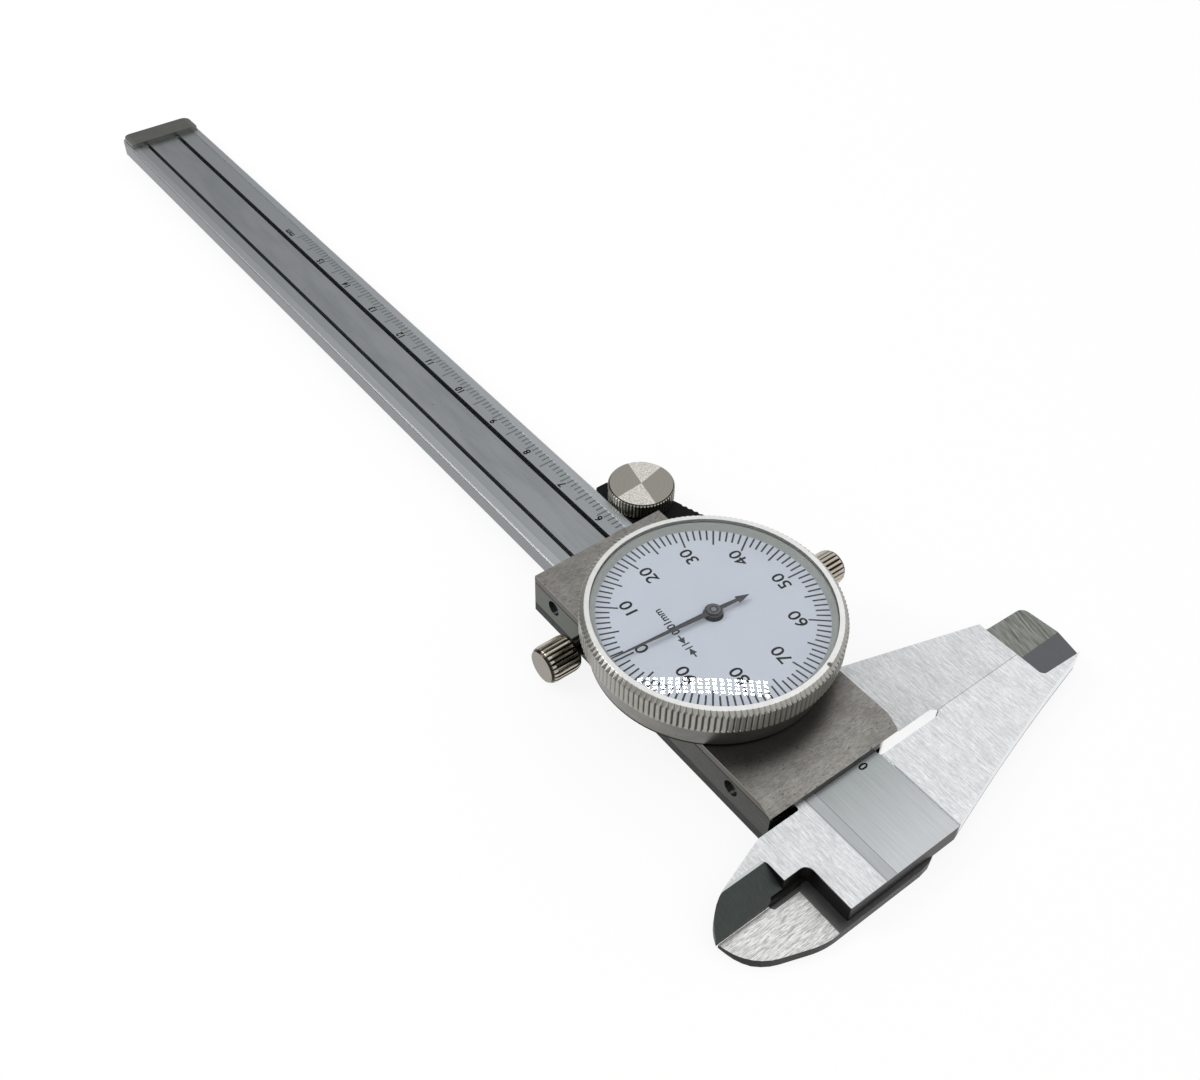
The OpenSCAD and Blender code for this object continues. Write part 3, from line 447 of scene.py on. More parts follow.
beam_marks = grow("beam_marks", marks, {
    "Count": 146, "Step": 0.001, "First Turn": -math.pi / 2, "Turn": 0.0,
    "Edge": 0.00644, "Short": 0.00134, "Five": 0.00194, "Ten": 0.00254,
    "Width": 0.00028, "Thickness": (SUNK + PROUD) / 1000,
    "Origin": (0.015, 0.0, (SCALE_Z + PRINT_MIDDLE) / 1000),
    "Ink": burnt("laser_burnt_mark", "#515354", "#707374")})
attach(beam_marks, "beam")
lettering("beam_numbers", [
    (str(cm), (10 * cm - (0.75 if cm < 10 else 0.2), -4.25, SCALE_Z),
     1.4, 0.0, 0.92) for cm in range(2, 16)]
    + [("mm", (162.6, -4.3, SCALE_Z), 1.4, 0.0, 0.9),
       ("0", (-0.44, -3.89, SCALE_Z), 1.5, 0.0, 0.9)],
    burnt("laser_burnt_number", "#2c2b29", "#474744"), "beam", 0.05)


# Cover strip over the rack: a thin ground strip let into the T-slot, duller
# than the scale, with a few brown specks. Its grain is drawn 0.3 mm wide,
# many times the real one.
strip, tree, mm = blank("dull_ground_strip")
fine = add(tree, NOISE, add(
    tree, VECTOR, mm, spots(9.0, 0.3, 0.3), operation="MULTIPLY"), 1.0, 4.0, 0.6)
broad = add(tree, NOISE, add(
    tree, VECTOR, mm, spots(14, 3, 3), operation="MULTIPLY"), 1.0, 2.0)
speck = add(tree, NOISE, add(
    tree, VECTOR, mm, spots(0.5, 0.4, 0.4), operation="MULTIPLY"), 1.0, 0.0)
tone = add(tree, BLEND, add(tree, RAMP, broad, 0.35, 0.65),
           srgb("#929698"), srgb("#a1a4a7"), data_type="RGBA")
tone = add(tree, BLEND, add(tree, RAMP, fine, 0.3, 0.7, 0.0, 0.35), tone,
           srgb("#b2b6b8"), data_type="RGBA")
tone = add(tree, BLEND, add(tree, RAMP, speck, 0.80, 0.86, 0.0, 0.8), tone,
           srgb("#5f5046"), data_type="RGBA")
add(tree, OUTPUT, add(tree, PRINCIPLED, {
    "Base Color": tone, "Metallic": 1.0,
    "Roughness": add(tree, RAMP, fine, 0.3, 0.7, 0.42, 0.34),
    "Normal": add(tree, BUMP, {
        "Strength": 1.0, "Distance": 3e-6, "Height": fine})}))
finish(strip, "cover_strip")


# Rack in the bottom of the slot, and the screws, pinions and springs that
# nothing shows: plain carbon steel, cut or turned, left oiled, so that it is
# dark grey with cloudy patches.
plain_steel, tree, mm = blank("oiled_plain_steel")
patches = add(tree, NOISE, add(
    tree, VECTOR, mm, spots(1.5, 0.8, 0.8), operation="MULTIPLY"), 1.0)
add(tree, OUTPUT, add(tree, PRINCIPLED, {
    "Base Color": add(tree, BLEND, patches, srgb("#505355"), srgb("#747677"),
                      data_type="RGBA"), "Roughness": 0.38, "Metallic": 1.0}))
finish(plain_steel, "rack", "rack_screws", "end_stop_screws", "rack_pinion",
       "centre_pinion", "backlash_spring", "bezel_snap_ring",
       "depth_rod_screws", "thumb_rest_screws", "case_screws",
       "bridge_screws")


# End stop: a small dark steel bar screwed across the beam's end, its top
# tumbled smooth, its ends a little lighter.
stop, tree, mm = blank("blackened_steel_bar")
ends = add(tree, RAMP, add(tree, MATH, add(
    tree, SPLIT, mm).outputs["Y"], operation="ABSOLUTE"), 6.3, 7.3, 0.0, 0.6)
patches = add(tree, NOISE, add(
    tree, VECTOR, mm, spots(1.2, 3.0, 1.0), operation="MULTIPLY"), 1.0)
tumbled = add(tree, NOISE, add(
    tree, VECTOR, mm, spots(0.3, 0.3, 0.3), operation="MULTIPLY"), 1.0)
tone = add(tree, BLEND, patches, srgb("#6b6b67"), srgb("#7b7b78"),
           data_type="RGBA")
add(tree, OUTPUT, add(tree, PRINCIPLED, {
    "Base Color": add(tree, BLEND, ends, tone, srgb("#8e8d8b"), data_type="RGBA"),
    "Roughness": 0.42, "Metallic": 1.0, "Normal": add(tree, BUMP, {
        "Strength": 1.0, "Distance": 4e-6, "Height": tumbled})}))
finish(stop, "end_stop")


# Slider with the moving jaw, milled from steel. The jaw is belt ground like
# the fixed one, the inside blade across it; its walls are painted dark, as painted shade.
BLADE = (-7.3, 14.65)       # the inside blade lies beyond this X and this Y
PLATE_Z = 1.7               # top of the back plate
COVER_Z = (6.05, 7.45)      # height of the cover's underside and of its top
SLOT_MOVING_Y = (-17.8, 6.8)        # middle and half length on this jaw
# The patch in front is a painted glint, white.
GLINT_PATCH = (10.55, 5.5)        # middle, in Y and Z, of the polish in front


def bare_corner(tree, x, y):
    """The front corner beside the fixed jaw, where the walls are painted white, as painted
    light.
    """
    return add(tree, MATH, add(tree, RAMP, x, 2.6, 2.5),
               add(tree, RAMP, y, -7.6, -8.6), operation="MULTIPLY")


slide, tree, mm = blank("ground_slider_steel")
x, y, z = add(tree, SPLIT, mm).outputs
up = add(tree, SPLIT, add(tree, PLACES).outputs["Normal"]).outputs["Z"]
steep = add(tree, RAMP, up, 0.40, 0.10)
flat = add(tree, RAMP, up, 0.975, 0.995)
grain = belt_grain(tree, mm)
# The blade's ground face: warm, with coarse streaks along the blade.
coarse = add(tree, NOISE, add(
    tree, VECTOR, mm, spots(0.16, 1.4, 0.3), operation="MULTIPLY"), 1.0, 3.0, 0.7)
blade = add(tree, MATH, add(
    tree, MATH, add(tree, RAMP, x, BLADE[0] + 0.1, BLADE[0] - 0.1),
    add(tree, RAMP, y, BLADE[1] - 0.05, BLADE[1] + 0.05), operation="MULTIPLY"),
    add(tree, RAMP, z, PLATE_Z - 0.20, PLATE_Z - 0.14), operation="MULTIPLY")
top = add(tree, BLEND, add(tree, RAMP, y, -26.0, -11.0, 0.0, 0.7),
          srgb("#e4e6e8"), srgb("#c6c8c9"), data_type="RGBA")
top = add(tree, BLEND, 1.0, top, grain, data_type="RGBA", blend_type="MULTIPLY")
top = add(tree, BLEND, jaw_seam(tree, x, y), top, srgb("#8b8d8e"), data_type="RGBA")
# The thinned tip: slanting scratches over a dull grey.
scratches = add(tree, NOISE, add(
    tree, VECTOR, add(tree, "ShaderNodeVectorRotate", mm, {"Angle": 0.22},
                      rotation_type="Z_AXIS"),
    spots(3.5, 0.30, 0.30), operation="MULTIPLY"), 1.0, 3.0, 0.65)
tip = add(tree, BLEND, add(tree, RAMP, scratches, 0.30, 0.70),
          srgb("#5c5e5a"), srgb("#a2a49e"), data_type="RGBA")
top = add(tree, BLEND, add(tree, RAMP, y, TIP_Y + 0.03, TIP_Y - 0.03), top, tip,
          data_type="RGBA")
# The back plate beside the blade lies in shade: painted shade, a dark grey.
top = add(tree, BLEND, add(tree, RAMP, z, PLATE_Z + 0.2, PLATE_Z + 0.1), top,
          srgb("#69696b"), data_type="RGBA")
warm = add(tree, BLEND, add(tree, RAMP, coarse, 0.34, 0.64),
           srgb("#afafab"), srgb("#ffffff"), data_type="RGBA")
top = add(tree, BLEND, blade, top, warm, data_type="RGBA")
# Walls: painted shade, dark, darkest on the back plate and under the cover's edge.
side = add(tree, BLEND, add(tree, RAMP, x, 5.0, 50.0), srgb("#454543"),
           srgb("#62655f"), data_type="RGBA")
side = add(tree, BLEND, add(tree, RAMP, z, PLATE_Z + 0.04, PLATE_Z), side,
           srgb("#242322"), data_type="RGBA")
side = add(tree, BLEND, add(tree, RAMP, z, COVER_Z[0] - 0.13, COVER_Z[0] - 0.07),
           side, srgb("#2a2a29"), data_type="RGBA")
side = add(tree, BLEND, steep, srgb("#686b6a"), side, data_type="RGBA")
# Polished and painted white, as painted light: the slot between the outside
# jaws, and two patches in front, a painted glint and the front corner.
slot = add(tree, MATH, add(tree, MATH, x, *SLOT, operation="COMPARE"),
           add(tree, MATH, y, *SLOT_MOVING_Y, operation="COMPARE"),
           operation="MULTIPLY")
glint_patch = add(tree, MATH, add(tree, MATH, add(tree, RAMP, x, 0.6, 0.5), add(
    tree, MATH, y, GLINT_PATCH[0], 1.65, operation="COMPARE"), operation="MULTIPLY"),
    add(tree, MATH, z, GLINT_PATCH[1], 0.4, operation="COMPARE"), operation="MULTIPLY")
polished_and_white = add(tree, MATH, add(
    tree, MATH, add(tree, MATH, slot, glint_patch, operation="MAXIMUM"),
    bare_corner(tree, x, y), operation="MAXIMUM"),
    add(tree, RAMP, flat, 1.0, 0.0), operation="MULTIPLY")
side = add(tree, BLEND, polished_and_white, side, srgb("#ffffff"), data_type="RGBA")
add(tree, OUTPUT, add(tree, PRINCIPLED, {
    "Base Color": add(tree, BLEND, flat, side, top, data_type="RGBA"),
    "Roughness": add(tree, MATH, polished_and_white, -0.30, add(
        tree, RAMP, grain, 0.80, 1.1, 0.46, 0.34), operation="MULTIPLY_ADD"),
    "Metallic": 1.0,
    "Normal": add(tree, BUMP, {
        "Strength": 1.0, "Distance": 6e-6, "Height": grain})}))
finish(slide, "slider_frame")

# A thin dark sheet below the relief at the root of the moving blade stands in for the
# shade there: painted shade.
SHADE_SHEET_OUTLINE = ((-7.5, 12.9), (-6.5, 13.3), (-6.5, 18.6), (-7.5, 19.4))
SHADE_SHEET_HEIGHTS = (0.9, 1.44)

shade_sheet_mesh = bpy.data.meshes.new("blade_root_shade_sheet")
corners = [(px / 1000, py / 1000, pz / 1000)
           for pz in SHADE_SHEET_HEIGHTS for px, py in SHADE_SHEET_OUTLINE]
shade_sheet_mesh.from_pydata(corners, [], [(3, 2, 1, 0), (4, 5, 6, 7)] + [
    (k, (k + 1) % 4, (k + 1) % 4 + 4, k + 4) for k in range(4)])
shade_sheet_mesh.materials.append(slide)
blade_root_shade_sheet = bpy.data.objects.new("blade_root_shade_sheet", shade_sheet_mesh)
scene.collection.objects.link(blade_root_shade_sheet)
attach(blade_root_shade_sheet, "slider")


# Slider cover: a ground plate on top of the slider, warmer and browner than
# the beam, with dark pits and a shadowed seam. The fine grain across it is
# drawn 0.18 mm wide, several times the real one.
DIAL = (26.75, 0.60)        # the dial's axis


def from_dial_axis(tree, mm):
    """How far a place is from the dial's axis, in mm."""
    return add(tree, VECTOR, add(
        tree, VECTOR, mm, (1, 1, 0), (-DIAL[0], -DIAL[1], 0),
        operation="MULTIPLY_ADD"), operation="LENGTH").outputs["Value"]


cover, tree, mm = blank("warm_ground_plate")
x, y, z = add(tree, SPLIT, mm).outputs
up = add(tree, SPLIT, add(tree, PLACES).outputs["Normal"]).outputs["Z"]
grain = add(tree, NOISE, add(
    tree, VECTOR, mm, spots(0.18, 0.9, 0.2), operation="MULTIPLY"), 1.0, 3.0, 0.7)
pits = add(tree, NOISE, add(
    tree, VECTOR, mm, spots(0.25, 0.5, 0.3), operation="MULTIPLY"), 1.0, 0.0)
broad = add(tree, NOISE, add(
    tree, VECTOR, mm, spots(4, 4, 4), operation="MULTIPLY"), 1.0, 2.0)
tone = add(tree, BLEND, add(tree, RAMP, grain, 0.3, 0.7), srgb("#7d7b77"),
           srgb("#a6a49f"), data_type="RGBA")
tone = add(tree, BLEND, add(tree, RAMP, broad, 0.40, 0.70, 0.0, 0.25), tone,
           srgb("#8a847c"), data_type="RGBA", blend_type="MULTIPLY")
tone = add(tree, BLEND, add(tree, RAMP, pits, 0.74, 0.80, 0.0, 0.75), tone,
           srgb("#4a4744"), data_type="RGBA")
# Painted shade: darker in the corner beside the case, at the front.
tone = add(tree, BLEND, add(
    tree, MATH, add(tree, RAMP, from_dial_axis(tree, mm), 22.5, 17.8, 0.0, 0.9),
    add(tree, RAMP, x, 24.0, 16.0), operation="MULTIPLY"), tone,
    srgb("#4c4845"), data_type="RGBA")
# Its edge is brown below a painted highlight along the arris, black in the
# seam, and painted white at the front corner, as painted light.
side = add(tree, BLEND, add(tree, RAMP, z, COVER_Z[1] - 0.12, COVER_Z[1] - 0.08),
           srgb("#5d5853"), srgb("#a3a19c"), data_type="RGBA")
side = add(tree, BLEND, add(tree, RAMP, z, COVER_Z[0] + 0.17, COVER_Z[0] + 0.15),
           side, srgb("#1d1917"), data_type="RGBA")
side = add(tree, BLEND, bare_corner(tree, x, y), side, srgb("#ffffff"),
           data_type="RGBA")
tone = add(tree, BLEND, add(tree, RAMP, up, 0.5, 0.2), tone, side,
           data_type="RGBA")
add(tree, OUTPUT, add(tree, PRINCIPLED, {
    "Base Color": tone, "Metallic": 1.0,
    "Roughness": add(tree, RAMP, grain, 0.3, 0.7, 0.38, 0.30),
    "Normal": add(tree, BUMP, {
        "Strength": 1.0, "Distance": 4e-6, "Height": grain})}))
finish(cover, "slider_cover", "gib")


# Gib screws in the slider's long side, and the spring clip that keeps the
# roller on: small turned or pressed steel, blackened, slightly patchy.
small, tree, mm = blank("dark_turned_steel")
patches = add(tree, NOISE, add(
    tree, VECTOR, mm, spots(0.8, 0.8, 0.8), operation="MULTIPLY"), 1.0)
add(tree, OUTPUT, add(tree, PRINCIPLED, {
    "Base Color": add(tree, BLEND, patches, srgb("#323232"), srgb("#4a4a4a"),
                      data_type="RGBA"), "Roughness": 0.4, "Metallic": 1.0}))
finish(small, "gib_screws", "roller_clip")


# Depth rod: a flat stainless bar that runs in a groove in the beam's back,
# screwed to the slider, ground along its length to a pale satin.
rod, tree, mm = blank("ground_depth_rod")
drawn = add(tree, NOISE, add(
    tree, VECTOR, mm, spots(8, 0.2, 0.2), operation="MULTIPLY"), 1.0, 4.0)
add(tree, OUTPUT, add(tree, PRINCIPLED, {
    "Base Color": add(tree, BLEND, drawn, srgb("#9fa2a4"), srgb("#c3c6c8"),
                      data_type="RGBA"), "Roughness": 0.34, "Metallic": 1.0}))
finish(rod, "depth_rod")


# Thumb rest: a pressed and milled arm, painted matt black, which swallows
# nearly all the light. The paint's fine pebble is drawn 0.25 mm wide.
black, tree, mm = blank("matt_black_coat")
pebble = add(tree, NOISE, add(
    tree, VECTOR, mm, spots(0.25, 0.25, 0.25), operation="MULTIPLY"), 1.0, 3.0)
add(tree, OUTPUT, add(tree, PRINCIPLED, {
    "Base Color": add(tree, BLEND, pebble, srgb("#0b0b0d"), srgb("#141517"),
                      data_type="RGBA"), "Roughness": 0.62,
    "Specular IOR Level": 0.12, "Normal": add(tree, BUMP, {
        "Strength": 1.0, "Distance": 1e-5, "Height": pebble})}))
finish(black, "thumb_rest")


# Dial case: a turned cup screwed to the cover, satin chromed, with a few
# dark pits in the plate. Painted shade makes it darker in front and dark in
# the corner that its foot makes with the cover.
chrome, tree, mm = blank("satin_chrome")
x, y, z = add(tree, SPLIT, mm).outputs
pit = add(tree, NOISE, add(
    tree, VECTOR, mm, spots(0.45, 0.45, 0.45), operation="MULTIPLY"), 1.0, 0.0)
broad = add(tree, NOISE, add(
    tree, VECTOR, mm, spots(3, 3, 1.2), operation="MULTIPLY"), 1.0, 3.0)
satin = add(tree, NOISE, add(
    tree, VECTOR, mm, spots(0.2, 0.2, 0.2), operation="MULTIPLY"), 1.0)
tone = add(tree, BLEND, broad, srgb("#7b7974"), srgb("#9b9994"), data_type="RGBA")
tone = add(tree, BLEND, add(tree, RAMP, x, 26.0, 9.5, 0.0, 0.6), tone,
           srgb("#4b4a48"), data_type="RGBA")
tone = add(tree, BLEND, add(tree, RAMP, z, COVER_Z[1] + 0.4, COVER_Z[1] + 0.2),
           tone, srgb("#1c1b1a"), data_type="RGBA")
tone = add(tree, BLEND, add(tree, RAMP, pit, 0.80, 0.84, 0.0, 0.85), tone,
           srgb("#2c2b29"), data_type="RGBA")
add(tree, OUTPUT, add(tree, PRINCIPLED, {
    "Base Color": tone, "Roughness": 0.33, "Metallic": 1.0,
    "Normal": add(tree, BUMP, {
        "Strength": 1.0, "Distance": 3e-6, "Height": satin})}))
finish(chrome, "dial_case")


# Movement under the dial: brass bridge, pillars, bushes, wheels and shoe,
# stamped and turned, lightly lacquered, painted dark up where they meet the
# hand, as painted shade.
SHADE_FROM_Z = 11.0          # from this height up

brass, tree, mm = blank("lacquered_brass")
drawn = add(tree, NOISE, add(
    tree, VECTOR, mm, spots(2, 0.3, 0.3), operation="MULTIPLY"), 1.0, 3.0)
add(tree, OUTPUT, add(tree, PRINCIPLED, {
    "Base Color": add(
        tree, BLEND, add(tree, RAMP, add(tree, SPLIT, mm).outputs["Z"],
                         SHADE_FROM_Z, SHADE_FROM_Z + 0.1),
        add(tree, BLEND, drawn, srgb("#a98a4a"), srgb("#c7a866"), data_type="RGBA"),
        srgb("#2f2f31"), data_type="RGBA"), "Roughness": 0.3, "Metallic": 1.0}))
finish(brass, "movement_bridge", "bridge_pillars", "arbor_bushes",
       "clamp_shoe", "drive_wheel", "backlash_wheel")


# Hand: a pressed needle of blued steel, nearly grey, with two slopes that
# meet in a ridge, a round hub, and an arrowhead on its tail.
HAND_Z = 15.05                      # height of its underside
HAND_TURN = math.radians(84.3)      # where it points at rest
EDGE, RIDGE = 0.07, 0.14            # its thickness at the edge and the ridge
HUB_R, HUB_EDGE = 1.3, 0.12
HUB_TOP_R, HUB_TOP = 1.22, 0.148    # above a small bevel
HUB_SIDES = 48

blued, tree, mm = blank("grey_blued_steel")
patches = add(tree, NOISE, add(
    tree, VECTOR, mm, spots(0.5, 0.5, 0.2), operation="MULTIPLY"), 1.0)
add(tree, OUTPUT, add(tree, PRINCIPLED, {
    "Base Color": add(tree, BLEND, patches, srgb("#3c3c40"), srgb("#525357"),
                      data_type="RGBA"), "Roughness": 0.35, "Metallic": 0.8}))

# The cap on its hub: the same steel, with the arbor's end in it painted bright, a painted
# highlight.
capped, tree, mm = blank("blued_cap_with_bright_pin")
out = from_dial_axis(tree, mm)
tone = add(tree, BLEND, add(tree, RAMP, out, 0.62, 0.58), srgb("#66676a"),
           srgb("#2e2e30"), data_type="RGBA")
tone = add(tree, BLEND, add(tree, RAMP, out, 0.44, 0.38), tone,
           srgb("#8d8e90"), data_type="RGBA")
add(tree, OUTPUT, add(tree, PRINCIPLED, {
    "Base Color": tone, "Roughness": 0.25, "Metallic": 1.0}))
finish(capped, "hand_cap")

# Point, tail and arrowhead, each as places along the hand and half widths.
corners, faces = [], []
for stations in (
        [(16.95, 0.10), (10.0, 0.24), (0.0, 0.44)],
        [(0.0, 0.40), (-4.25, 0.26)],
        [(-4.1, 0.62), (-4.25, 0.62), (-6.2, 0.02)]):
    for along, half in stations:
        corners += [(along, -half, 0.0), (along, half, 0.0), (along, half, EDGE),
                    (along, 0.0, RIDGE), (along, -half, EDGE)]
    first = len(corners) - 5 * len(stations)
    faces += [tuple(first + k for k in range(5)),
              tuple(len(corners) - 1 - k for k in range(5))]
    faces += [(a + k, a + 5 + k, a + 5 + (k + 1) % 5, a + (k + 1) % 5)
              for a in range(first, len(corners) - 5, 5) for k in range(5)]
first = len(corners)
for step in range(HUB_SIDES):
    c, s = math.cos(math.tau * step / HUB_SIDES), math.sin(math.tau * step / HUB_SIDES)
    corners += [(HUB_R * c, HUB_R * s, 0.0), (HUB_R * c, HUB_R * s, HUB_EDGE),
                (HUB_TOP_R * c, HUB_TOP_R * s, HUB_TOP)]
faces += [tuple(first + 3 * k for k in reversed(range(HUB_SIDES))),
          tuple(first + 3 * k + 2 for k in range(HUB_SIDES))]
faces += [(first + 3 * k + j, first + 3 * ((k + 1) % HUB_SIDES) + j,
           first + 3 * ((k + 1) % HUB_SIDES) + j + 1, first + 3 * k + j + 1)
          for k in range(HUB_SIDES) for j in range(2)]
needle = bpy.data.meshes.new("bevelled_hand")
needle.from_pydata(corners, [], faces)
needle.transform(Matrix.Scale(0.001, 4) @ Matrix.Translation((*DIAL, HAND_Z))
                 @ Matrix.Rotation(HAND_TURN, 4, "Z"))
needle.materials.append(blued)
bevelled_hand = bpy.data.objects.new("bevelled_hand", needle)
scene.collection.objects.link(bevelled_hand)
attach(bevelled_hand, "pointer")
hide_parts("hand")


# Bezel: turned brass, straight knurled round its edge and satin chromed,
# with a bright turned rim that has taken a knock.
KNURL_R, KNURL_TOP = 19.0, 15.45
RIM_Z = 15.95               # the bright rim lies above
KNOCK = (9.5, -5.1, 16.0)

bezel, tree, mm = blank("knurled_satin_chrome")
z = add(tree, SPLIT, mm).outputs["Z"]
broad = add(tree, NOISE, add(
    tree, VECTOR, mm, spots(1.5, 1.5, 1.0), operation="MULTIPLY"), 1.0, 3.0)
satin = add(tree, NOISE, add(
    tree, VECTOR, mm, spots(0.25, 0.25, 0.25), operation="MULTIPLY"), 1.0)
tone = add(tree, BLEND, broad, srgb("#96958f"), srgb("#aeada8"), data_type="RGBA")
# Dirt and shade gather in the knurl's grooves.
groove = add(tree, MATH, add(
    tree, RAMP, from_dial_axis(tree, mm), KNURL_R - 0.07, KNURL_R - 0.20),
    add(tree, RAMP, z, KNURL_TOP, KNURL_TOP - 0.15), operation="MULTIPLY")
tone = add(tree, BLEND, groove, tone, srgb("#7b7974"), data_type="RGBA")
tone = add(tree, BLEND, add(tree, RAMP, z, RIM_Z - 0.02, RIM_Z + 0.02), tone, add(
    tree, BLEND, broad, srgb("#e4e4e0"), srgb("#ffffff"), data_type="RGBA"),
    data_type="RGBA")
knock = add(tree, RAMP, add(
    tree, VECTOR, mm, KNOCK, operation="DISTANCE").outputs["Value"], 0.45, 0.30)
tone = add(tree, BLEND, knock, tone, srgb("#6b6a67"), data_type="RGBA")
add(tree, OUTPUT, add(tree, PRINCIPLED, {
    "Base Color": tone, "Roughness": 0.3, "Metallic": 1.0,
    "Normal": add(tree, BUMP, {
        "Strength": 1.0, "Distance": 3e-6, "Height": satin})}))
finish(bezel, "bezel_ring")


# Dial face: a thin disc, enamelled bluish white and screen printed with a
# hundred marks, their numbers, and the worth of one division.
enamel, tree, mm = blank("bluish_white_enamel")
broad = add(tree, NOISE, add(
    tree, VECTOR, mm, spots(6, 6, 6), operation="MULTIPLY"), 1.0)
add(tree, OUTPUT, add(tree, PRINCIPLED, {
    "Base Color": add(tree, BLEND, broad, srgb("#cdd1da"), srgb("#d6dae2"),
                      data_type="RGBA"), "Roughness": 0.5}))
finish(enamel, "dial_face")

# Its ink: dark grey, slightly uneven in thickness.
ink, tree, mm = blank("black_printing_ink")
uneven = add(tree, NOISE, add(
    tree, VECTOR, mm, spots(0.3, 0.3, 0.3), operation="MULTIPLY"), 1.0)
add(tree, OUTPUT, add(tree, PRINCIPLED, {
    "Base Color": add(tree, BLEND, uneven, srgb("#191a1f"), srgb("#26282d"),
                      data_type="RGBA"), "Roughness": 0.55}))

FACE_Z = 14.40                      # height of the face
DIAL_TURN = math.radians(-5.0)      # the bezel is turned a little at rest
DIVISION = math.radians(3.6)        # between two marks

dial_marks = grow("dial_marks", marks, {
    "Count": 100, "Step": 0.0, "First Turn": math.pi / 2 + DIAL_TURN,
    "Turn": -DIVISION, "Edge": 0.01662, "Short": 0.0020,
    "Five": 0.0029, "Ten": 0.0032, "Width": 0.00027,
    "Thickness": (SUNK + PROUD) / 1000,
    "Origin": (DIAL[0] / 1000, DIAL[1] / 1000, (FACE_Z + PRINT_MIDDLE) / 1000),
    "Ink": ink})
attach(dial_marks, "bezel")


def on_dial(right, upwards):
    """A place on the face, from its middle, as the dial is read."""
    c, s = math.cos(DIAL_TURN), math.sin(DIAL_TURN)
    return (DIAL[0] + right * c - upwards * s,
            DIAL[1] + right * s + upwards * c, FACE_Z)


words = []
for n in range(0, 100, 10):         # wide numbers stand further in at the sides
    turned = n * DIVISION
    from_middle = 11.45 + 0.7 * math.cos(turned) ** 2
    words.append((str(n), on_dial(
        from_middle * math.sin(turned), from_middle * math.cos(turned)),
        2.0, DIAL_TURN, 1.12))
lettering("dial_numbers", words, ink, "bezel", 0.035)
lettering("dial_division", [("0.01mm", on_dial(2.2, 6.45), 1.28, DIAL_TURN, 0.92)],
          ink, "bezel", 0.03)

# The sign for one division: two arrows that point at a pair of bars.
SIGN_Y = 6.52                       # how far it stands above the middle

sign = bpy.data.meshes.new("division_sign")
corners, faces = [], []
for outline in (
        [(-5.15, -0.12), (-4.45, -0.12), (-4.45, 0.12), (-5.15, 0.12)],
        [(-4.5, -0.56), (-3.42, 0.0), (-4.5, 0.56)],
        [(-3.42, -0.62), (-3.22, -0.62), (-3.22, 0.62), (-3.42, 0.62)],
        [(-2.66, -0.62), (-2.46, -0.62), (-2.46, 0.62), (-2.66, 0.62)],
        [(-1.38, -0.56), (-1.38, 0.56), (-2.46, 0.0)],
        [(-1.4, -0.12), (-0.75, -0.12), (-0.75, 0.12), (-1.4, 0.12)]):
    first, many = len(corners), len(outline)
    for lift in (-SUNK, PROUD):
        corners += [tuple(c / 1000 for c in (
            *on_dial(px, SIGN_Y + py)[:2], FACE_Z + lift)) for px, py in outline]
    faces.append(tuple(first + i for i in reversed(range(many))))
    faces.append(tuple(first + many + i for i in range(many)))
    faces += [(first + i, first + (i + 1) % many,
               first + many + (i + 1) % many, first + many + i)
              for i in range(many)]
sign.from_pydata(corners, [], faces)
sign.materials.append(ink)
division_sign = bpy.data.objects.new("division_sign", sign)
scene.collection.objects.link(division_sign)
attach(division_sign, "bezel")


# Sloping seat between rim and face, on which the crystal lies: a pressed
# metal ring, lacquered a warm pale grey with faint clouds in it.
seat, tree, mm = blank("pale_grey_lacquer")
broad = add(tree, NOISE, add(
    tree, VECTOR, mm, spots(2, 2, 2), operation="MULTIPLY"), 1.0, 3.0)
add(tree, OUTPUT, add(tree, PRINCIPLED, {
    "Base Color": add(tree, BLEND, broad, srgb("#a3a6a0"), srgb("#b0b3ad"),
                      data_type="RGBA"), "Roughness": 0.4}))
finish(seat, "crystal_seat")


# Crystal: a clear acrylic dome, pressed and polished, snapped into the rim.
# Its curve is one smooth piece here, so that it mirrors without a break.
CRYSTAL_R, CRYSTAL_FOOT = 17.5, 15.35       # radius, and height of its edge
CRYSTAL_WALL, CRYSTAL_RISE = 0.6, 0.5
RINGS, ROUND = 16, 128

ball = (CRYSTAL_R ** 2 + CRYSTAL_RISE ** 2) / (2 * CRYSTAL_RISE)
corners, faces = [], []
for foot in (CRYSTAL_FOOT, CRYSTAL_FOOT + CRYSTAL_WALL):
    for ring in range(1, RINGS + 1):
        out = CRYSTAL_R * ring / RINGS
        rise = CRYSTAL_RISE - ball + math.sqrt(ball ** 2 - out ** 2)
        corners += [(DIAL[0] + out * math.cos(math.tau * k / ROUND),
                     DIAL[1] + out * math.sin(math.tau * k / ROUND),
                     foot + rise) for k in range(ROUND)]
    corners.append((*DIAL, foot + CRYSTAL_RISE))
half = len(corners) // 2
edge = (RINGS - 1) * ROUND
for k in range(ROUND):
    after = (k + 1) % ROUND
    faces += [(after, k, half - 1), (half + k, half + after, 2 * half - 1)]
    for ring in range(0, edge, ROUND):
        faces += [(ring + k, ring + after, ring + ROUND + after, ring + ROUND + k),
                  (half + ring + after, half + ring + k,
                   half + ring + ROUND + k, half + ring + ROUND + after)]
    faces.append((edge + k, edge + after, half + edge + after, half + edge + k))
dome = bpy.data.meshes.new("crystal_dome")
dome.from_pydata([[c / 1000 for c in corner] for corner in corners], [], faces)
dome.shade_smooth()
dome.set_sharp_from_angle(angle=math.radians(30))

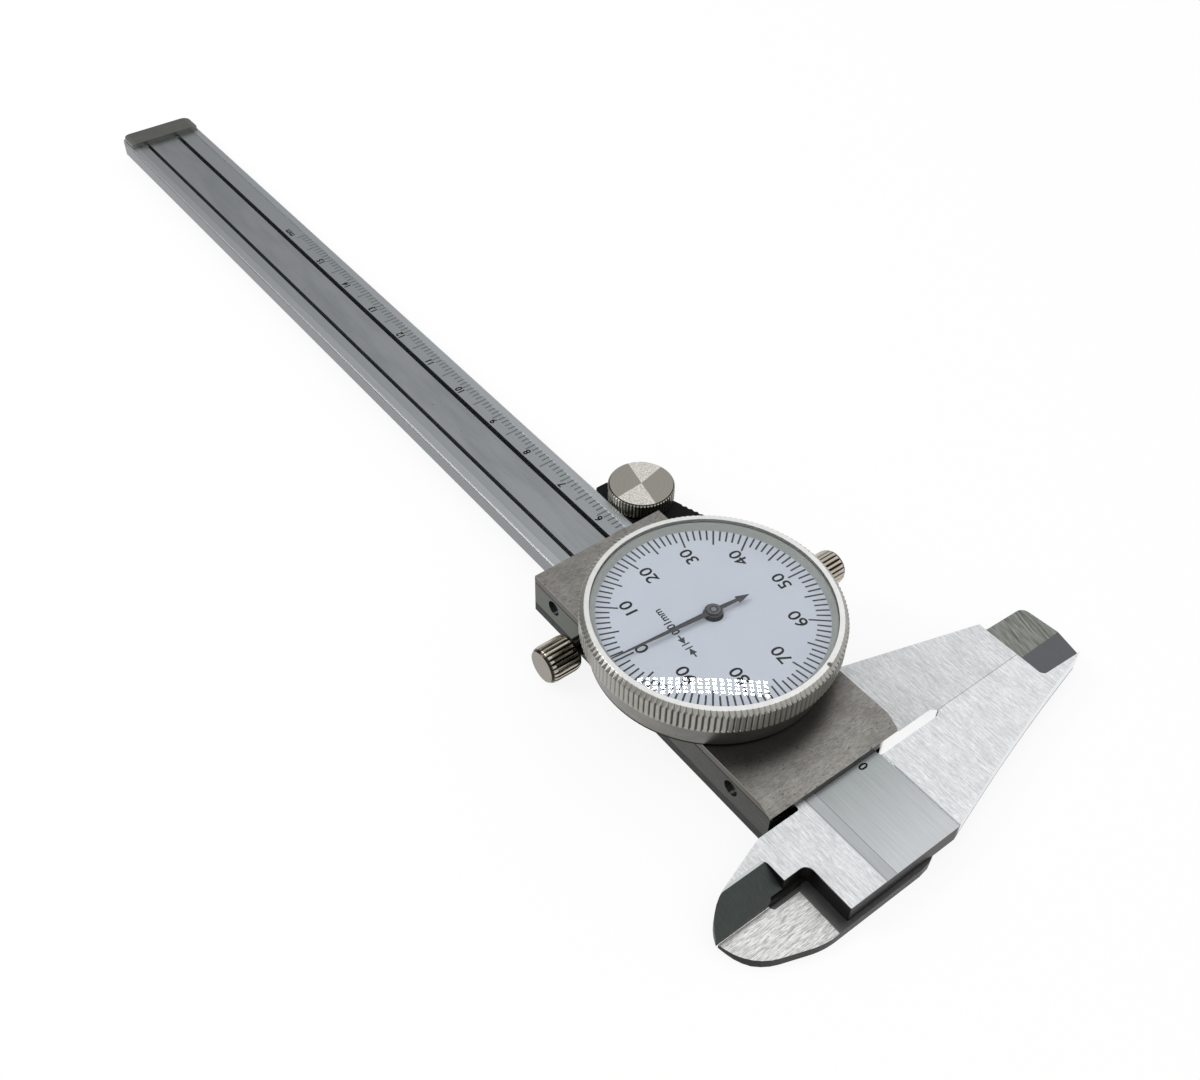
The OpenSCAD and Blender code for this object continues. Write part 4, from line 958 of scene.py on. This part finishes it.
# It mirrors on its outer side alone, as much as acrylic does.
clear, tree, mm = blank("polished_clear_acrylic")
mirrored = add(tree, MATH, add(tree, "ShaderNodeFresnel", 1.49), add(
    tree, RAMP, add(tree, "ShaderNodeNewGeometry").outputs["Backfacing"],
    0.0, 1.0, 1.0, 0.0), operation="MULTIPLY")
add(tree, OUTPUT, add(
    tree, "ShaderNodeMixShader", mirrored,
    add(tree, "ShaderNodeBsdfTransparent", srgb("#fafbfc")),
    add(tree, "ShaderNodeBsdfAnisotropic", {
        "Color": srgb("#ffffff"), "Roughness": 0.0})))
dome.materials.append(clear)
crystal_dome = bpy.data.objects.new("crystal_dome", dome)
scene.collection.objects.link(crystal_dome)
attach(crystal_dome, "bezel")
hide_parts("crystal")


# Thumb roller: turned and knurled steel, chromed. The bow tie that the rings
# left by the turning tool throw back from the lamps is painted across its
# face, a painted reflection.
ROLLER = (60.0, -13.56)     # its axis
BOW_TIE_REFLECTION = ((-1.345, -0.235), (1.645, 2.92))  # the bow tie's halves, in radians
GROOVE_R = 5.30             # bottom of the knurl

turned_chrome, tree, mm = blank("turned_roller_chrome")
about = add(tree, VECTOR, mm, (1, 1, 0), (-ROLLER[0], -ROLLER[1], 0),
            operation="MULTIPLY_ADD")
across, upwards = list(add(tree, SPLIT, about).outputs)[:2]
radius = add(tree, VECTOR, about, operation="LENGTH").outputs["Value"]
angle = add(tree, MATH, upwards, across, operation="ARCTAN2")
halves = [add(tree, MATH, add(tree, RAMP, angle, start - 0.015, start + 0.015),
              add(tree, RAMP, angle, end + 0.01, end - 0.01), operation="MULTIPLY")
          for start, end in BOW_TIE_REFLECTION]
painted_bow_tie = add(tree, MATH, *halves, operation="MAXIMUM")
rings = add(tree, NOISE, {
    "W": add(tree, MATH, radius, 6.0, operation="MULTIPLY"), "Scale": 1.0,
    "Detail": 2.0}, noise_dimensions="1D")
sparkle = add(tree, NOISE, add(
    tree, VECTOR, mm, spots(0.2, 0.2, 0.2), operation="MULTIPLY"), 1.0, 2.0, 0.7)
dull = add(tree, BLEND, add(tree, RAMP, rings, 0.3, 0.7), srgb("#98958d"),
           srgb("#a6a39b"), data_type="RGBA")
painted_reflection = add(tree, BLEND, add(tree, RAMP, sparkle, 0.35, 0.65), srgb("#bdbab2"),
          srgb("#fffdf6"), data_type="RGBA")
face = add(tree, BLEND, painted_bow_tie, dull, painted_reflection, data_type="RGBA")
# The knurl is painted dark in its grooves, as painted shade.
rim = add(tree, BLEND, add(tree, RAMP, radius, GROOVE_R, GROOVE_R + 0.12),
          srgb("#2a2927"), srgb("#aba89f"), data_type="RGBA")
level = add(tree, RAMP, add(
    tree, SPLIT, add(tree, PLACES).outputs["Normal"]).outputs["Z"], 0.8, 0.9)
add(tree, OUTPUT, add(tree, PRINCIPLED, {
    "Base Color": add(tree, BLEND, level, rim, face, data_type="RGBA"),
    "Roughness": 0.3, "Metallic": 1.0}))
finish(turned_chrome, "thumb_roller")


# Lock screw and bezel clamp screw: turned brass, knurled and nickel plated,
# warm and fairly bright, with painted shade darker round the knurled side
# and dark in its grooves.
for node, axis, head_r in (("lock_screw", (40.7, 3.35), 2.95),
                           ("bezel_clamp_screw", (26.75, 9.10), 2.75)):
    nickel, tree, mm = blank("nickel_plate_" + node)
    radius = add(tree, VECTOR, add(
        tree, VECTOR, mm, (1, 0, 1), (-axis[0], 0, -axis[1]),
        operation="MULTIPLY_ADD"), operation="LENGTH").outputs["Value"]
    patches = add(tree, NOISE, add(
        tree, VECTOR, mm, spots(0.6, 1.2, 0.6), operation="MULTIPLY"), 1.0, 3.0)
    tone = add(tree, BLEND, patches, srgb("#a79f92"), srgb("#cdc6ba"),
               data_type="RGBA")
    groove_shade = add(tree, RAMP, radius, head_r - 0.10, head_r - 0.22)
    side = add(tree, RAMP, add(tree, MATH, add(
        tree, SPLIT, add(tree, PLACES).outputs["Normal"]).outputs["Y"],
        operation="ABSOLUTE"), 0.9, 0.7)
    tone = add(tree, BLEND, side, add(
        tree, BLEND, patches, srgb("#86807a"), srgb("#9a948a"), data_type="RGBA"),
        tone, data_type="RGBA")
    add(tree, OUTPUT, add(tree, PRINCIPLED, {
        "Base Color": add(
            tree, BLEND, add(tree, MATH, groove_shade, side, operation="MULTIPLY"),
            tone, srgb("#35312c"), data_type="RGBA"),
        "Roughness": 0.22, "Metallic": 1.0}))
    finish(nickel, node)
